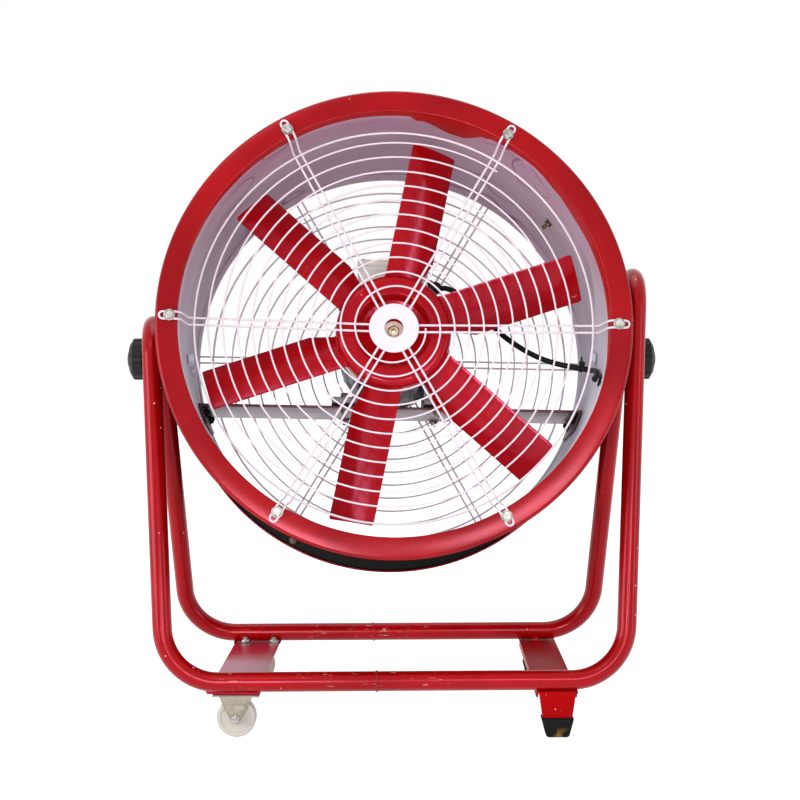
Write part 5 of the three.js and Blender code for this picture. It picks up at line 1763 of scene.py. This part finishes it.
def cable_gland():
    """A hexagon against the box and a gripped dome that closes round the cable."""
    start = box_half_width + seat_gap
    neck = start + gland_hex_length
    top = neck + gland_dome_length
    waist = neck + gland_dome_length * 0.5
    throat = cable_radius + 0.0002
    foot = hexagon("gland_hex", gland_hex, gland_hex_length, start + gland_hex_length / 2, gland_rounding)
    outline = [(throat, neck - 0.002), (gland_dome, neck - 0.002), (gland_dome, waist),
               (gland_dome * 0.93, neck + gland_dome_length * 0.7),
               (gland_dome * 0.78, neck + gland_dome_length * 0.88), (throat + 0.0014, top), (throat, top)]
    cap = turned("gland_dome", outline, 64)
    low = (gland_dome - 0.001, neck + 0.0006, -gland_grip_half_width)
    high = (gland_dome + 0.0006, waist, gland_grip_half_width)
    grip = rounded(block("grip", low, high), gland_grip_rounding)
    gland = merged("cable_gland_moulded", foot, cap, *all_round(grip, gland_grips))
    place = inside_place @ shift(0, box_front + box_length / 2, gland_height) @ sideways
    dressed(gland, place, "drum", "plastic", "black_plastic", "cable_gland")


def cable_tie(path):
    """A nylon tie round the cable where it meets the wall, with its lock and cut tail."""
    stop = len(path) * tie_stop // len(cable_route)
    at = path[stop]
    ahead = (path[stop + 1] - at).normalized()
    side = ahead.cross(Vector((0, 0, 1))).normalized()
    upward = side.cross(ahead)
    hold = cable_radius + tie_gap
    band = rod("band", [at + side * x + upward * y for x, y in circle(hold, 32)], tie_band, 2, True)
    lock = rounded(block("lock", *tie_lock), tie_lock_rounding)
    facing = Matrix((side, ahead, upward)).transposed().to_4x4()
    moved(lock, Matrix.Translation(at + upward * (hold + 0.0016)) @ facing)
    root = at + upward * (hold + 0.003)
    tail = rod("tail", [root, root + upward * 0.009 - ahead * 0.003], tie_tail_radius, 2)
    dressed(merged("cable_tie", band, lock, tail), inside_place, "drum", "cable", "black_plastic")


def wall_grommet():
    """A rubber ring lipped over both faces of the shell, closed on the outside."""
    low = shell_bore - seat_gap - grommet_flange
    high = shell_outer + seat_gap
    inside = low - grommet_flange
    outside = high + grommet_flange
    edge = grommet_rounding
    hole = cable_radius + 0.0001
    groove = grommet_hole - 0.0004
    outline = [(hole, inside), (grommet_radius - edge, inside), (grommet_radius, inside + edge),
               (grommet_radius, low), (groove, low), (groove, high), (grommet_radius, high),
               (grommet_radius, outside - edge), (grommet_radius - edge, outside), (0, outside),
               (0, low + 0.001), (hole, low + 0.001)]
    ring = turned("wall_grommet_moulded", outline, 56)
    place = inside_place @ shift(0, grommet_depth, 0) @ turn(-grommet_angle) @ sideways
    dressed(ring, place, "drum", "rubber", "rubber", "wall_grommet")


def cable():
    """The cable inside the drum, with its gland, tie and grommet."""
    path = smooth_route(cable_route, 6)
    sheath = rod("power_cable_sheath", path, cable_radius, 6)
    dressed(sheath, inside_place, "drum", "cable", "rubber", "power_cable")
    cable_gland()
    cable_tie(path)
    wall_grommet()


def wall_fasteners():
    """Small screws of the drum: a pointed tip with its nut, a painted nut, and one end on the rear rim."""
    for name, spot, finish in (("wall_screw_inside", wall_screw_spot, "bronze"),
                               ("wall_nut_inside", wall_nut_spot, "lining")):
        place = duct_place @ turn(-spot["angle"]) @ shift(shell_bore - 0.0003, spot["depth"], 0) @ sideways
        dressed(bolt(name), place, "drum", finish, "bright_steel")
    x = rim_screw_radius * math.cos(rim_screw_angle)
    z = -rim_screw_radius * math.sin(rim_screw_angle)
    place = duct_place @ shift(x, drum_length - rim_sheet, z)
    dressed(bolt("rim_screw"), place, "drum", "dull_zinc", "bright_steel")


def plain_nodes():
    """The solids whose own shape is right, hidden inside the motor, with their finishes."""
    inner = {"motor_stator": "core", "motor_rotor": "core", "bearing_front": "steel", "bearing_rear": "steel",
             "fan_shaft": "steel"}
    for node, finish in inner.items():
        mesh = frame["nodes"][node].data
        mesh.materials.clear()
        mesh.materials.append(finishes[finish])


# Studio


def studio_camera():
    """A camera where the photograph was taken from."""
    lens = bpy.data.cameras.new("studio_camera")
    lens.lens = camera_lens
    lens.sensor_width = camera_sensor
    camera = bpy.data.objects.new("studio_camera", lens)
    bpy.context.collection.objects.link(camera)
    camera.location = camera_spot
    camera.rotation_euler = camera_turn
    bpy.context.scene.camera = camera


def softbox(name, at, width, height, power):
    """A rectangular lamp turned to the middle of the fan."""
    lamp = bpy.data.lights.new(name, "AREA")
    lamp.shape = "RECTANGLE"
    lamp.size = width
    lamp.size_y = height
    lamp.energy = power
    light = bpy.data.objects.new(name, lamp)
    bpy.context.collection.objects.link(light)
    light.location = at
    light.rotation_euler = (Vector(lamp_aim) - Vector(at)).to_track_quat("-Z", "Y").to_euler()


def shown_white(tree):
    """1 where the camera, a reflection or a view through glass sees the surface, else 0."""
    path = tree.nodes.new("ShaderNodeLightPath")
    total = path.outputs["Is Camera Ray"]
    for name in ("Is Glossy Ray", "Is Transmission Ray"):
        add = tree.nodes.new("ShaderNodeMath")
        add.operation = "MAXIMUM"
        tree.links.new(total, add.inputs[0])
        tree.links.new(path.outputs[name], add.inputs[1])
        total = add.outputs[0]
    return total


def white_room():
    """Dim white light from all round that looks fully white itself."""
    world = bpy.data.worlds.new("white_room")
    bpy.context.scene.world = world
    world.use_nodes = True
    tree = world.node_tree
    back = tree.nodes["Background"]
    back.inputs["Color"].default_value = (1, 1, 1, 1)
    level = tree.nodes.new("ShaderNodeMapRange")
    level.inputs["To Min"].default_value = room_light
    level.inputs["To Max"].default_value = 1.0
    tree.links.new(shown_white(tree), level.inputs["Value"])
    tree.links.new(level.outputs[0], back.inputs["Strength"])


def white_floor():
    """A floor that takes soft shadows and looks white."""
    let_go()
    bpy.ops.mesh.primitive_plane_add(size=40, location=(0, 0, -0.0005))
    floor = named("studio_floor")
    surface = bpy.data.materials.new("studio_floor")
    surface.use_nodes = True
    tree = surface.node_tree
    shader = tree.nodes["Principled BSDF"]
    shader.inputs["Base Color"].default_value = (0.93, 0.93, 0.93, 1)
    shader.inputs["Roughness"].default_value = 0.9
    shader.inputs["Specular IOR Level"].default_value = 0.0
    shader.inputs["Emission Color"].default_value = (1, 1, 1, 1)
    glow = tree.nodes.new("ShaderNodeMath")
    glow.operation = "MULTIPLY"
    glow.inputs[1].default_value = floor_glow
    tree.links.new(shown_white(tree), glow.inputs[0])
    tree.links.new(glow.outputs[0], shader.inputs["Emission Strength"])
    floor.data.materials.append(surface)


def studio():
    """The camera, the white surroundings and the lamps."""
    studio_camera()
    white_room()
    white_floor()
    for name, settings in softboxes.items():
        softbox(name, *settings)
    bpy.context.scene.view_settings.view_transform = "Standard"


studio()
stand_tubes()
pivot_plates()
caster_plate()
casters()
foot_channel()
rubber_shoes()
drum_shell()
rim_ring("front", "lining", duct_place)
rim_ring("rear", "rear_lining", rear_duct)
guard("front", front_guard, inside_place)
guard("rear", rear_guard, rear_inside)
trunnions()
pivots()
clamp_knobs()
hub()
blades()
shaft_end()
motor_body()
motor_shields()
motor_bolts()
motor_pads()
motor_plate()
terminal_box()
cable()
wall_fasteners()
plain_nodes()
